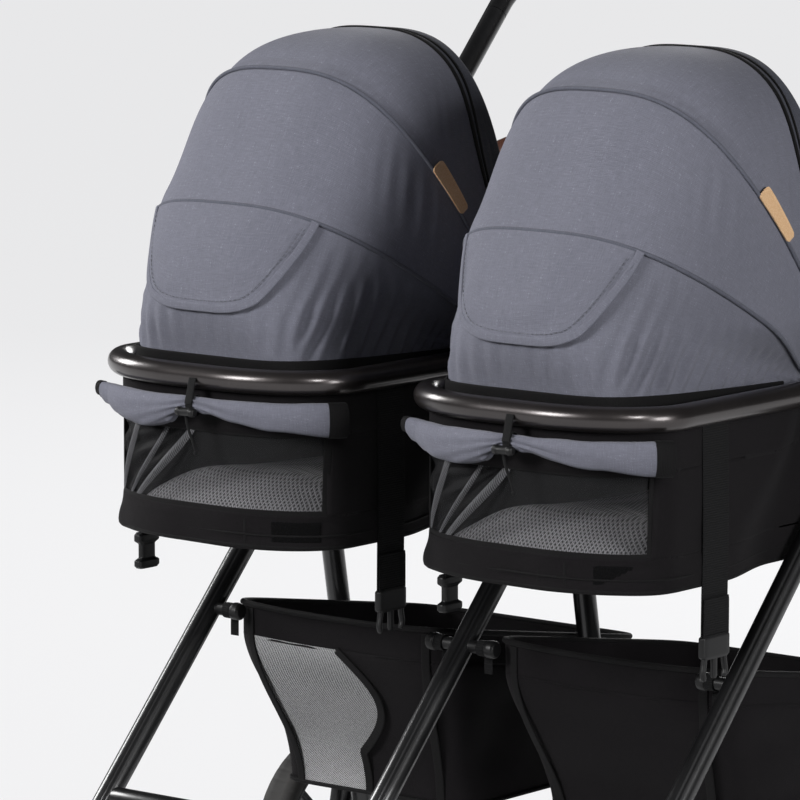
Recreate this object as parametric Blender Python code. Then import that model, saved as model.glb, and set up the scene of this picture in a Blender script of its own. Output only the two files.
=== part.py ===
"""Side by side twin stroller with two lie-flat seats, in metres, +Z up.

The front wheels and the head ends of the seats are at -Y, the push handle is at +Y.
Lengths along Y and Z are first measured from the head end of the seat hoops and from
the plane of the hoops, and place() turns them into world coordinates, so that the
model stands on z = 0 with its footprint centred on the origin.
"""
import math

import bmesh
import bpy
import numpy as np
from mathutils import Matrix, Vector

for old in list(bpy.data.objects):
    bpy.data.objects.remove(old, do_unlink=True)

# Fits
GAP = 0.0003             # between touching solids
SWIVEL_GAP = 0.0005      # between turning faces

# Seats
HOOP_HEIGHT = 0.655      # plane of the hoops above the floor
HOOP_HALF = 0.1405       # hoop centreline, half its width
SEAT_X = HOOP_HALF + 0.0495   # middle of each seat from the middle of the stroller
HOOP_LENGTH = 0.735      # hoop centreline, head to foot
HOOP_R = 0.012           # tube radius
CORNER_X = 0.115         # the hoop's corners are quarter ellipses
CORNER_Y = 0.071
SEAT_HUB_R = 0.028
SEAT_HUB_HALF = 0.0145   # half the hub's thickness
HUB_Y = 0.338            # seat hubs and fold hubs, behind the head end

# Chassis
FOLD_DROP = 0.085        # fold hubs below the hoops
FOLD_HUB_R = 0.030
FOLD_HUB_HALF = 0.0125
FRAME_X = SEAT_X + HOOP_HALF - 0.0105   # outer side frames
LEG_R = 0.0115
FRONT_SLOPE = math.radians(47)
REAR_SLOPE = math.radians(80)
CENTRE_LEG = 0.470       # fold hub to the front cross tube
ROD_AT = 0.243           # cross rods, down the front legs from the fold hub
ROD_REACH = 0.042
ROD_R = 0.0062
KNOB_R = 0.0085
KNOB_LONG = 0.012
POST_HALF = 0.014        # seat posts, half their length along Y
POST_STEP = 0.0006       # how far the saddle stands out past its post
POST_INTO = 0.006        # how far the post goes up into the saddle
CLEVIS_R = 0.0125        # half the width of the rear legs' forked tops
CLEVIS_LONG = 0.095
CLEVIS_SLOT = 0.070
CLEVIS_PLATE = 0.003

# Wheels
FRONT_WHEEL_R = 0.080
FRONT_WHEEL_HALF = 0.018
FRONT_TRAIL = 0.035
REAR_WHEEL_R = 0.110
REAR_WHEEL_HALF = 0.019
TYRE_DEEP = 0.019
AXLE_R = 0.005
AXLE_TUBE_R = 0.0105
BORE_PLAY = 0.0001       # running fit of a wheel on its axle
FORK_PLATE = 0.005
FORK_SIDE = 0.002
CROWN_DEEP = 0.010
CROWN_R = 0.021
CROWN_OVER_TYRE = 0.004
HOUSING_R = 0.022
HOUSING_DEEP = 0.046
SPOKE_HOLES = 5

# Push handle
HANDLE_SLOPE = math.radians(47)
HANDLE_LENGTH = 0.595    # fold hub to the middle of the grip
ARM_X = FRAME_X + 0.049
HANDLE_BEND = 0.060
BAR_LEAD = 0.012         # straight end of the bent bar, below its bend
ARM_FROM = 0.020         # where an arm's tube starts inside its hub
GRIP_R = 0.0175
GRIP_HALF = 0.270
BUTTON_R = 0.009
BUTTON_TRAVEL = 0.004
BUTTON_LONG = 0.0075

# Tubs and mattresses
TUB_INSET = 0.005        # tub wall inside the hoop's centreline
TUB_RIM = 0.0103         # the rim's top below the hoop's middle, tucked under the tube
TUB_DEEP = 0.158
TUB_FOOT_DEEP = 0.100
TUB_WALL = 0.003
TUB_WAIST = HOOP_HALF - 0.0285   # half width between the legs
WAIST_FROM = 0.240       # at the rim the waist starts here and is full at WAIST_TO
WAIST_TO = 0.305
WAIST_LOW_FROM = 0.140   # the same at the floor
WAIST_LOW_TO = 0.250
WAIST_BACK = 0.440       # where the rim widens again
WAIST_BACK_LONG = 0.060
FLOOR_RISE_FROM = 0.380  # where the floor starts to rise towards the foot end
FLOOR_RISE_LONG = 0.300
MATTRESS_EDGE = 0.034
MATTRESS_CROWN = 0.013
MATTRESS_SIDE_GAP = 0.0025
MATTRESS_DRAW = 0.004    # how far its sides pull in between the corners

# Canopies: one curved surface about a cross axis between the hoop's sides
CANOPY_Y = 0.310
CANOPY_LONG = 0.3145     # reach of the middle bow from the cross axis
CANOPY_SKIN = 0.003
CANOPY_INNER_R = 0.020
FLARE_HEIGHT = 0.075
STUD_R = 0.004           # studs on the seat hubs that the bows turn on
EAR_R = 0.009
EAR_FROM = 0.0127        # the studs' round feet, from the hub's middle
EAR_TO = 0.0175
BOW_R = 0.0035
BOW_STACK = 0.0076
BOW_CLEAR = 0.0040       # between a bow and the fabric over it
BOW_STRAIGHT = 0.010     # straight start of a bow at its pivot
BOW_SPREAD = 0.058       # where it starts to lean out to the skin
BOW_STEPS = (0.143, 0.223, 0.302, 0.382)   # shares of CANOPY_LONG
BOW_ON_SKIN = 0.140      # from here on it follows the skin
SEAM_REAR = math.radians(30.8)
SEAM_FRONT = math.radians(57.0)
WIRE_ANGLE = math.radians(72.0)
VISOR_ANGLE = math.radians(86.0)
PANEL_SPLIT = math.radians(0.25)
BOW_LEAD = math.radians(1.2)

# Bumper bars, rolled flaps, straps and buckles
BUMPER_Y = 0.352
BUMPER_SLOPE = math.radians(32)
BUMPER_REACH = 0.335
BUMPER_R = 0.015
BUMPER_END_R = 0.006
ROLL_R = 0.0155
ROLL_PINCH = 0.42
ROLL_DROP = 0.035
ROLL_SEAT = 0.0008       # between the roll and the tub it is sewn to
STRAP_Y = 0.126
STRAP_WIDE = 0.040
STRAP_THICK = 0.0016
STRAP_TOP = 0.030
STRAP_END = 0.208
MALE_LONG = 0.040
MALE_THICK = 0.008
FEMALE_Y = 0.090
FEMALE_WIDE = 0.030
FEMALE_THICK = 0.011
FEMALE_TOP = 0.176
FEMALE_LONG = 0.036

# Baskets
BASKET_IN = 0.025        # inner side, from the middle of the stroller
BASKET_OUT = FRAME_X - 0.015
BASKET_BACK = 0.500
BASKET_RIM = 0.242
BASKET_RIM_FALL = 0.033
BASKET_FLOOR = 0.440
BASKET_WALL = 0.003
BASKET_TAPER = 0.022
BASKET_CORNER = 0.012
BASKET_FRONT_LEAN = 2.4  # the front wall leans this many times more than the others
BASKET_UPRIGHT = 0.14    # share of the depth below the rim that stays upright

# Brake
BRAKE_X = 0.150
BRAKE_HALF = 0.050
BRAKE_BLOCK = 0.018
PEDAL_LONG = 0.055
PEDAL_THICK = 0.009
PEDAL_HALF = 0.044
PEDAL_FALL = 0.004       # the pedal's end below its hinge

WHEEL_SIDES = 24
FOLD_Z = -FOLD_DROP
HOUSING_BASE = 2 * FRONT_WHEEL_R + CROWN_OVER_TYRE + CROWN_DEEP + GAP - HOOP_HEIGHT
HOUSING_MID = HOUSING_BASE + HOUSING_DEEP / 2
CASTER_Y = HUB_Y - (FOLD_Z - HOUSING_MID) / math.tan(FRONT_SLOPE) - LEG_R - 0.5 * LEG_R
FRONT_AXLE_Y = CASTER_Y + FRONT_TRAIL
FRONT_AXLE_Z = FRONT_WHEEL_R - HOOP_HEIGHT
REAR_AXLE_Z = REAR_WHEEL_R - HOOP_HEIGHT
REAR_LEG = (FOLD_Z - REAR_AXLE_Z) / math.sin(REAR_SLOPE)
REAR_AXLE_Y = HUB_Y + REAR_LEG * math.cos(REAR_SLOPE)
REAR_WHEEL_IN = FRAME_X + FRONT_WHEEL_HALF + FORK_SIDE + FORK_PLATE + 0.002
REAR_WHEEL_X = REAR_WHEEL_IN + REAR_WHEEL_HALF
FRONT_REACH = FRONT_AXLE_Y - FRONT_WHEEL_R
BACK_REACH = HUB_Y + HANDLE_LENGTH * math.cos(HANDLE_SLOPE) + GRIP_R
HEAD_Y = -(FRONT_REACH + BACK_REACH) / 2
SIDE_PLANE = SEAT_X + HOOP_HALF
BOW_ROOT = HOOP_HALF - 0.0256    # outermost bow's end from the seat's middle
STUD_END = HOOP_HALF - BOW_ROOT + 2 * BOW_STACK + BOW_R
ROD_Y = HUB_Y - ROD_AT * math.cos(FRONT_SLOPE)
HANDLE_HUB_IN = FRAME_X + FOLD_HUB_HALF + GAP + CLEVIS_PLATE + GAP


def place(x, y, z):
    """A point measured from the hoops, in world coordinates."""
    return Vector((x, y + HEAD_Y, z + HOOP_HEIGHT))


def material(name, colour, roughness, metallic=0.0):
    made = bpy.data.materials.new(name)
    made.use_nodes = True
    shader = made.node_tree.nodes["Principled BSDF"]
    shader.inputs["Base Color"].default_value = (*colour, 1.0)
    shader.inputs["Roughness"].default_value = roughness
    shader.inputs["Metallic"].default_value = metallic
    return made


GUNMETAL = ((0.035, 0.034, 0.036), 0.22, 0.9)
BLACK_TUBE = ((0.020, 0.020, 0.021), 0.30, 0.7)
BLACK_PLASTIC = ((0.018, 0.018, 0.019), 0.45)
BLACK_FABRIC = ((0.014, 0.013, 0.014), 0.85)
BLUE_GREY = ((0.145, 0.155, 0.195), 0.90)
GREY_MESH = ((0.33, 0.33, 0.34), 0.85)
SHEER_MESH = ((0.40, 0.40, 0.41), 0.80)
BROWN_LEATHER = ((0.115, 0.040, 0.020), 0.50)
TYRE_RUBBER = ((0.022, 0.022, 0.023), 0.80)
RIM_GREY = ((0.045, 0.045, 0.047), 0.40)
STEEL = ((0.32, 0.32, 0.33), 0.30, 1.0)


def new_object(name, data, look):
    """Link a mesh or curve as one named piece with its own material."""
    made = bpy.data.objects.new(name, data)
    bpy.context.collection.objects.link(made)
    data.materials.append(material(name, *look))
    return made


def mesh_piece(name, bm, look, origin=None, turn=0.0):
    """Finish a bmesh as a piece at origin, turned about X, with even normals."""
    bmesh.ops.remove_doubles(bm, verts=bm.verts, dist=1e-6)
    bmesh.ops.recalc_face_normals(bm, faces=bm.faces)
    data = bpy.data.meshes.new(name)
    bm.to_mesh(data)
    bm.free()
    data.shade_smooth()
    data.set_sharp_from_angle(angle=math.radians(35))
    made = new_object(name, data, look)
    made.location = origin or Vector((0, 0, 0))
    made.rotation_euler = (turn, 0, 0)
    return made


def combine(piece, other, operation):
    """Join or cut a piece with a hidden second solid made in the same local frame."""
    other.location = piece.location
    other.rotation_euler = piece.rotation_euler
    other.hide_render = True
    other.display_type = "WIRE"
    step = piece.modifiers.new(other.name, "BOOLEAN")
    step.operation = operation
    step.solver = "EXACT"
    step.object = other
    return piece


def box(name, low, high, look=BLACK_PLASTIC, origin=None, turn=0.0, round_edge=0.0):
    """A block between two corners, with its edges rounded if asked."""
    centre = (Vector(low) + Vector(high)) / 2
    size = Vector(high) - Vector(low)
    bm = bmesh.new()
    grow = Matrix.Translation(centre) @ Matrix.Diagonal((*size, 1))
    bmesh.ops.create_cube(bm, size=1, matrix=grow)
    if round_edge:
        bmesh.ops.bevel(bm, geom=bm.edges, offset=round_edge, segments=2, affect="EDGES", profile=0.6)
    return mesh_piece(name, bm, look, origin, turn)


def rod(name, start, end, radius, look=BLACK_TUBE, origin=None, turn=0.0, sides=16):
    """A straight round bar between two points."""
    start, end = Vector(start), Vector(end)
    bm = bmesh.new()
    aim = (end - start).to_track_quat("Z", "Y").to_matrix().to_4x4()
    shift = Matrix.Translation((start + end) / 2)
    bmesh.ops.create_cone(
        bm, cap_ends=True, segments=sides, radius1=radius, radius2=radius,
        depth=(end - start).length, matrix=shift @ aim)
    return mesh_piece(name, bm, look, origin, turn)


def slab(name, outline, low, high, look, origin=None, turn=0.0):
    """A plate between two x values with a closed outline of (y, z) points."""
    bm = bmesh.new()
    face = bm.faces.new([bm.verts.new((low, y, z)) for y, z in outline])
    grown = bmesh.ops.extrude_face_region(bm, geom=[face])
    moved = [v for v in grown["geom"] if isinstance(v, bmesh.types.BMVert)]
    bmesh.ops.translate(bm, verts=moved, vec=(high - low, 0, 0))
    return mesh_piece(name, bm, look, origin, turn)


def bore_radius(radius, sides, play=GAP):
    """Corner radius of a faceted hole whose flats clear a shaft by play."""
    return (radius + play) / math.cos(math.pi / sides)


def turned(name, profile, look, origin=None, sides=24, start_angle=0.0):
    """Spin a closed outline of (x, radius) points about the X axis."""
    bm = bmesh.new()
    rings = []
    for index in range(sides):
        angle = start_angle + 2 * math.pi * index / sides
        ring = [bm.verts.new((x, r * math.cos(angle), r * math.sin(angle))) for x, r in profile]
        rings.append(ring)
    count = len(profile)
    for index in range(sides):
        here, after = rings[index], rings[(index + 1) % sides]
        for k in range(count):
            n = (k + 1) % count
            if profile[k][1] < 1e-9 and profile[n][1] < 1e-9:
                continue
            bm.faces.new((here[k], here[n], after[n], after[k]))
    bmesh.ops.remove_doubles(bm, verts=bm.verts, dist=1e-7)
    bmesh.ops.dissolve_degenerate(bm, edges=bm.edges, dist=1e-7)
    return mesh_piece(name, bm, look, origin)


def bent_tube(name, points, radius, look, cyclic=False, sides_level=2, scale=None):
    """A round tube along world points, with filled ends where it isn't a loop."""
    data = bpy.data.curves.new(name, "CURVE")
    data.dimensions = "3D"
    data.bevel_depth = radius
    data.bevel_resolution = sides_level
    data.use_fill_caps = not cyclic
    spline = data.splines.new("POLY")
    spline.points.add(len(points) - 1)
    for index, point in enumerate(points):
        spline.points[index].co = (*point, 1.0)
        spline.points[index].radius = scale[index] if scale else 1.0
    spline.use_cyclic_u = cyclic
    spline.use_smooth = True
    return new_object(name, data, look)


def pivot(name, where, pieces):
    """Hang pieces on an empty that marks a joint."""
    empty = bpy.data.objects.new(name, None)
    empty.location = where
    empty.empty_display_size = 0.02
    bpy.context.collection.objects.link(empty)
    for piece in pieces:
        piece.parent = empty
        piece.matrix_parent_inverse = Matrix.Translation(-Vector(where))
    return empty


def smooth(value):
    """Ease from 0 to 1 with level ends."""
    value = min(max(value, 0.0), 1.0)
    return value * value * (3 - 2 * value)


def through(knots, values, where):
    """A smooth curve through a few chosen values."""
    slopes = np.gradient(values, knots)
    index = int(np.clip(np.searchsorted(knots, where) - 1, 0, len(knots) - 2))
    span = knots[index + 1] - knots[index]
    t = (where - knots[index]) / span
    rise = values[index + 1] - values[index]
    ease = t * t * (3 - 2 * t)
    bend = t * (1 - t) * (span * ((1 - t) * slopes[index] - t * slopes[index + 1]) - (1 - 2 * t) * rise)
    return float(values[index] + ease * rise + bend)


def corner(centre_x, centre_y, reach_x, reach_y, first, last, steps):
    """Points on a quarter ellipse between two angles, in degrees."""
    angles = [math.radians(first + (last - first) * k / steps) for k in range(steps + 1)]
    return [(centre_x + reach_x * math.cos(a), centre_y + reach_y * math.sin(a)) for a in angles]


def hoop_outline(steps=8):
    """The hoop's centreline as (offset, y), once round."""
    side_x, side_y = HOOP_HALF - CORNER_X, CORNER_Y
    foot_y = HOOP_LENGTH - CORNER_Y
    path = corner(-side_x, side_y, CORNER_X, CORNER_Y, 180, 270, steps)
    path += corner(side_x, side_y, CORNER_X, CORNER_Y, 270, 360, steps)
    path += [(HOOP_HALF, side_y + (foot_y - side_y) * k / 4) for k in range(1, 4)]
    path += corner(side_x, foot_y, CORNER_X, CORNER_Y, 0, 90, steps)
    path += corner(-side_x, foot_y, CORNER_X, CORNER_Y, 90, 180, steps)
    path += [(-HOOP_HALF, foot_y - (foot_y - side_y) * k / 4) for k in range(1, 4)]
    return path


def head_path(outset, first, last, steps=9):
    """The head end of the tub's outline, moved out by outset, between two angles."""
    side_x = HOOP_HALF - CORNER_X
    reach_x, reach_y = CORNER_X - TUB_INSET + outset, CORNER_Y - TUB_INSET + outset
    left = corner(-side_x, CORNER_Y, reach_x, reach_y, 180 + first, 270, steps)
    right = corner(side_x, CORNER_Y, reach_x, reach_y, 270, 360 - last, steps)
    middle = [(side_x * k / 3, CORNER_Y - reach_y) for k in (-2, -1, 0, 1, 2)]
    return left + middle + right


def tub_half_width(y, level, inset):
    """Half the tub's width: level is 0 at its rim and 1 at its floor."""
    full = HOOP_HALF - TUB_INSET
    ease = smooth(level)
    start = WAIST_FROM + (WAIST_LOW_FROM - WAIST_FROM) * ease
    end = WAIST_TO + (WAIST_LOW_TO - WAIST_TO) * ease
    narrow = smooth((y - start) / (end - start))
    widen = smooth((y - WAIST_BACK) / WAIST_BACK_LONG) * (1 - ease)
    half = full - (full - TUB_WAIST) * narrow * (1 - widen)
    side = HOOP_HALF - CORNER_X
    head_y = TUB_INSET
    foot_y = HOOP_LENGTH - TUB_INSET
    reach = CORNER_Y - TUB_INSET
    from_end = min(y - head_y, foot_y - y)
    if from_end < reach:
        ratio = max(0.0, 1 - ((reach - max(from_end, 0.0)) / reach) ** 2)
        half = side + (half - side) * math.sqrt(ratio)
    return half - inset


def tub_stations(inset):
    """Places along the seat where the tub's outline is measured."""
    head, foot = TUB_INSET, HOOP_LENGTH - TUB_INSET
    reach = CORNER_Y - TUB_INSET
    bend = [reach * (1 - math.cos(math.radians(a))) for a in (0, 20, 38, 56, 74, 90)]
    shares = (0.177, 0.259, 0.299, 0.340, 0.381, 0.422, 0.517, 0.599, 0.639, 0.680, 0.789)
    middle = [HOOP_LENGTH * share for share in shares]
    places = [head + b for b in bend] + middle + [foot - b for b in reversed(bend)]
    low, high = head + inset, foot - inset
    return [low + (high - low) * (y - head) / (foot - head) for y in places]


def tub_floor(y):
    """Height of the tub's underside, which rises towards the foot end."""
    rise = smooth((y - FLOOR_RISE_FROM) / FLOOR_RISE_LONG)
    return -(TUB_DEEP + (TUB_FOOT_DEEP - TUB_DEEP) * rise)


def loft(bm, rings):
    """Join rings of points, each a loop with the same count, by quads."""
    made = [[bm.verts.new(p) for p in ring] for ring in rings]
    count = len(rings[0])
    for lower, upper in zip(made, made[1:]):
        for k in range(count):
            n = (k + 1) % count
            bm.faces.new((lower[k], lower[n], upper[n], upper[k]))
    return made


def strip_cap(bm, ring):
    """Close a loop whose first half mirrors its second half."""
    half = len(ring) // 2
    for k in range(half - 1):
        mate = 2 * half - 1 - k
        bm.faces.new((ring[k], ring[k + 1], ring[mate - 1], ring[mate]))


def mirrored_ring(rows, centre_x):
    """A loop from rows of (y, half width, z): down the left side and back on the right."""
    left = [place(centre_x - half, y, z) for y, half, z in rows]
    right = [place(centre_x + half, y, z) for y, half, z in reversed(rows)]
    return left + right


def make_tub(name, centre_x):
    """An open tub of thin fabric that hangs under the hoop."""
    levels = (1.0, 0.60, 0.22, 0.0)
    rings = []
    for inset, order, lift in ((0.0, levels, 0.0), (TUB_WALL, levels[::-1], TUB_WALL)):
        for level in order:
            rows = []
            for y in tub_stations(inset):
                base = tub_floor(y) + lift
                z = -TUB_RIM + (base + TUB_RIM) * level
                rows.append((y, tub_half_width(y, level, inset), z))
            rings.append(mirrored_ring(rows, centre_x))
    bm = bmesh.new()
    made = loft(bm, rings)
    strip_cap(bm, made[0])
    strip_cap(bm, made[-1])
    return mesh_piece(name, bm, BLACK_FABRIC)


def make_mattress(name, centre_x):
    """A soft mat on the tub's floor: crowned on top, its sides drawn in between corners."""
    inset = TUB_WALL + MATTRESS_SIDE_GAP
    stations = tub_stations(inset)
    first, last = stations[0], stations[-1]
    rings = []
    around = 14
    for y in stations:
        along = (y - first) / (last - first)
        ends = math.sin(math.pi * along)
        half = tub_half_width(y, 1.0, inset) - MATTRESS_DRAW * ends
        floor = tub_floor(y) + TUB_WALL + GAP
        edge = MATTRESS_EDGE * (0.72 + 0.28 * min(1.0, 8 * min(along, 1 - along)))
        crown = MATTRESS_CROWN * min(1.0, 3.2 * ends)
        ring = []
        for k in range(around):
            angle = 2 * math.pi * (k + 0.5) / around
            c, s = math.cos(angle), math.sin(angle)
            across = math.copysign(abs(c) ** 0.42, c)
            rise = math.copysign(abs(s) ** 0.55, s)
            z = floor + edge / 2 + rise * edge / 2
            if rise > 0:
                z += crown * (1 - across * across) * rise
            ring.append(place(centre_x + half * across, y, z))
        rings.append(ring)
    bm = bmesh.new()
    made = loft(bm, rings)
    for ring in (made[0], made[-1]):
        half_count = around // 2
        quarter = around // 4
        loop = [ring[(k + quarter + 1) % around] for k in range(around)]
        for k in range(half_count - 1):
            mate = around - 1 - k
            bm.faces.new((loop[k], loop[k + 1], loop[mate - 1], loop[mate]))
    return mesh_piece(name, bm, GREY_MESH)


CANOPY_KNOTS = np.radians([0.0, 14.0, 35.0, 60.0, 90.0])
CANOPY_HALF = HOOP_HALF * np.array([0.868, 0.982, 1.117, 1.139, 1.039])
CANOPY_REACH = CANOPY_LONG * np.array([0.922, 0.994, 1.0, 1.072, 0.992])
CANOPY_POWER = np.array([6.0, 3.4, 3.1, 2.9, 2.9])


def canopy_point(centre_x, angle, t, inset):
    """A point of the canopy: a superellipse in a plane turned by angle about its axis."""
    half = through(CANOPY_KNOTS, CANOPY_HALF, angle)
    reach = through(CANOPY_KNOTS, CANOPY_REACH, angle) - inset
    power = 2 / through(CANOPY_KNOTS, CANOPY_POWER, angle)
    out = reach * math.sin(t) ** power
    height = out * math.sin(angle)
    base = CANOPY_HALF[0]
    half = base + (half - base) * smooth(height / FLARE_HEIGHT) - inset
    across = math.copysign(abs(math.cos(t)) ** power, math.cos(t)) * half
    return place(centre_x + across, CANOPY_Y - out * math.cos(angle), height)


def canopy_sweep(angle, inset, steps=16):
    """Values of t across the canopy, from one side's edge to the other."""
    reach = through(CANOPY_KNOTS, CANOPY_REACH, angle) - inset
    power = 2 / through(CANOPY_KNOTS, CANOPY_POWER, angle)
    edge = math.asin((CANOPY_INNER_R / reach) ** (1 / power))
    return [edge + (math.pi - 2 * edge) * k / steps for k in range(steps + 1)]


def canopy_panel(name, centre_x, first, last, rows, look=BLUE_GREY):
    """A curved fabric panel of the canopy between two angles, with its thickness."""
    bm = bmesh.new()
    skins = []
    for inset in (0.0, CANOPY_SKIN):
        grid = []
        for i in range(rows + 1):
            angle = first + (last - first) * i / rows
            sweep = canopy_sweep(angle, inset)
            grid.append([bm.verts.new(canopy_point(centre_x, angle, t, inset)) for t in sweep])
        skins.append(grid)
    outer, inner = skins
    wide = len(outer[0]) - 1
    for i in range(rows):
        for j in range(wide):
            for grid in skins:
                bm.faces.new((grid[i][j], grid[i][j + 1], grid[i + 1][j + 1], grid[i + 1][j]))
        for j in (0, wide):
            bm.faces.new((outer[i][j], outer[i + 1][j], inner[i + 1][j], inner[i][j]))
    for i in (0, rows):
        for j in range(wide):
            bm.faces.new((outer[i][j], outer[i][j + 1], inner[i][j + 1], inner[i][j]))
    return mesh_piece(name, bm, look)


def canopy_bow(name, centre_x, angle, stack):
    """A bow inside the canopy: stacked beside its neighbours at the pivot, then out to the skin."""
    inset = CANOPY_SKIN + BOW_R + BOW_CLEAR
    root = BOW_ROOT - stack * BOW_STACK
    reach = through(CANOPY_KNOTS, CANOPY_REACH, angle)
    power = through(CANOPY_KNOTS, CANOPY_POWER, angle)
    arm = [(root, STUD_R + GAP), (root, BOW_STRAIGHT)]
    for share in BOW_STEPS:
        out = CANOPY_LONG * share
        t = math.asin((out / reach) ** (power / 2))
        skin = canopy_point(0.0, angle, t, inset).x
        arm.append((root + (skin - root) * smooth((out - BOW_SPREAD) / BOW_SPREAD), out))
    sides = []
    for side in (1, -1):
        sides.append([place(centre_x + side * u, CANOPY_Y - out * math.cos(angle), out * math.sin(angle))
                      for u, out in arm])
    over = [canopy_point(centre_x, angle, t, inset) for t in canopy_sweep(angle, inset)]
    pivot_line = place(centre_x, CANOPY_Y, 0)
    far = [p for p in over if math.hypot(p.y - pivot_line.y, p.z - pivot_line.z) > BOW_ON_SKIN]
    return bent_tube(name, sides[0] + far + sides[1][::-1], BOW_R, STEEL, sides_level=1)


def make_bumper(name, centre_x):
    """A padded bar across the seat: slim at its pivots, thick along its round bow."""
    root = HOOP_HALF - SEAT_HUB_HALF - GAP - BUMPER_END_R
    reach_x, reach_y = root - 0.020, 0.085
    along = BUMPER_REACH
    outs = (0.0, 0.020, 0.044, 0.056, 0.070, 0.150)
    side = [(-root, out) for out in outs]
    slim = BUMPER_END_R / BUMPER_R
    scale = [slim, slim, slim, 1.0, 1.0, 1.0]
    arc = corner(-(root - reach_x), along - reach_y, reach_x, reach_y, 180, 90, 8)
    flat = side + arc
    scale += [1.0] * len(arc)
    flat += [(-u, out) for u, out in reversed(flat)]
    scale += scale[::-1]
    c, s = math.cos(BUMPER_SLOPE), math.sin(BUMPER_SLOPE)
    points = [place(centre_x + u, BUMPER_Y + out * c, out * s) for u, out in flat]
    return bent_tube(name, points, BUMPER_R, BROWN_LEATHER, scale=scale)


def make_roll(name, centre_x):
    """The rolled window cover round the head end, drawn in at the middle by its tie."""
    path = head_path(ROLL_R + ROLL_SEAT, 14, 14, 8)
    points = [place(centre_x + u, y, -ROLL_DROP) for u, y in path]
    scale = [1 - (1 - ROLL_PINCH) * math.exp(-((u - 0.008) / 0.016) ** 2) for u, y in path]
    ends = len(path) - 1
    scale = [s * (0.9 if k in (0, ends) else 1.0) for k, s in enumerate(scale)]
    return bent_tube(name, points, ROLL_R, BLUE_GREY, scale=scale)


def make_seat_hub(name, centre_x, side):
    """A round hub that the hoop's tube runs through, and that the seat tilts on."""
    middle = centre_x + side * HOOP_HALF
    origin = place(middle, HUB_Y, 0)
    half = SEAT_HUB_HALF
    edge = 0.003
    profile = [(-half, 0), (-half, SEAT_HUB_R - edge), (edge - half, SEAT_HUB_R),
               (half - edge, SEAT_HUB_R), (half, SEAT_HUB_R - edge), (half, 0)]
    hub = turned(name, profile, BLACK_PLASTIC, origin, sides=20)
    reach = 1.5 * SEAT_HUB_R
    bore = rod(name + "_bore", (0, -reach, 0), (0, reach, 0), bore_radius(HOOP_R, 16))
    combine(hub, bore, "DIFFERENCE")
    y = CANOPY_Y - HUB_Y
    ear = rod(name + "_ear", (-side * EAR_FROM, y, 0), (-side * EAR_TO, y, 0), EAR_R)
    combine(hub, ear, "UNION")
    stud = rod(name + "_stud", (-side * (EAR_FROM + 0.001), y, 0), (-side * STUD_END, y, 0), STUD_R, sides=12)
    return combine(hub, stud, "UNION")


def make_strap(name, centre_x):
    """A wide web strap down the tub's side that ends in the plug of a buckle."""
    wall = centre_x + HOOP_HALF - TUB_INSET + 2 * GAP
    low, high = STRAP_Y - STRAP_WIDE / 2, STRAP_Y + STRAP_WIDE / 2
    origin = place(wall, 0, 0)
    strap = box(name, (0, low, -STRAP_END), (STRAP_THICK, high, -STRAP_TOP), BLACK_FABRIC, origin)
    over = (MALE_THICK - STRAP_THICK) / 2
    lowest = -(STRAP_END + MALE_LONG * 0.55)
    body = box(name + "_body", (-over, low, lowest), (MALE_THICK - over, high, -STRAP_END + 0.006),
               round_edge=0.0015)
    combine(strap, body, "UNION")
    third = STRAP_WIDE / 3
    for k, share in enumerate((0.30, 1.0, 0.30)):
        start = low + third * k + third * share * 0.32
        end = low + third * (k + 1) - third * share * 0.32
        prong = box(f"{name}_prong_{k}", (0, start, lowest - MALE_LONG * 0.45),
                    (MALE_THICK - 2 * over, end, lowest + 0.004))
        combine(strap, prong, "UNION")
    return strap


def make_female(name, centre_x):
    """The socket of a buckle on a short web at the tub's lower edge."""
    wall = centre_x - (HOOP_HALF - TUB_INSET + 2 * GAP)
    low, high = FEMALE_Y - FEMALE_WIDE / 2, FEMALE_Y + FEMALE_WIDE / 2
    origin = place(wall, 0, 0)
    top = -(TUB_DEEP - 0.012)
    web = box(name, (-STRAP_THICK, low + 0.003, -FEMALE_TOP - 0.004), (0, high - 0.003, top),
              BLACK_PLASTIC, origin)
    shift = (FEMALE_THICK - STRAP_THICK) / 2
    body = box(name + "_body", (-FEMALE_THICK + shift, low, -FEMALE_TOP - FEMALE_LONG),
               (shift, high, -FEMALE_TOP), round_edge=0.002)
    return combine(web, body, "UNION")


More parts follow.
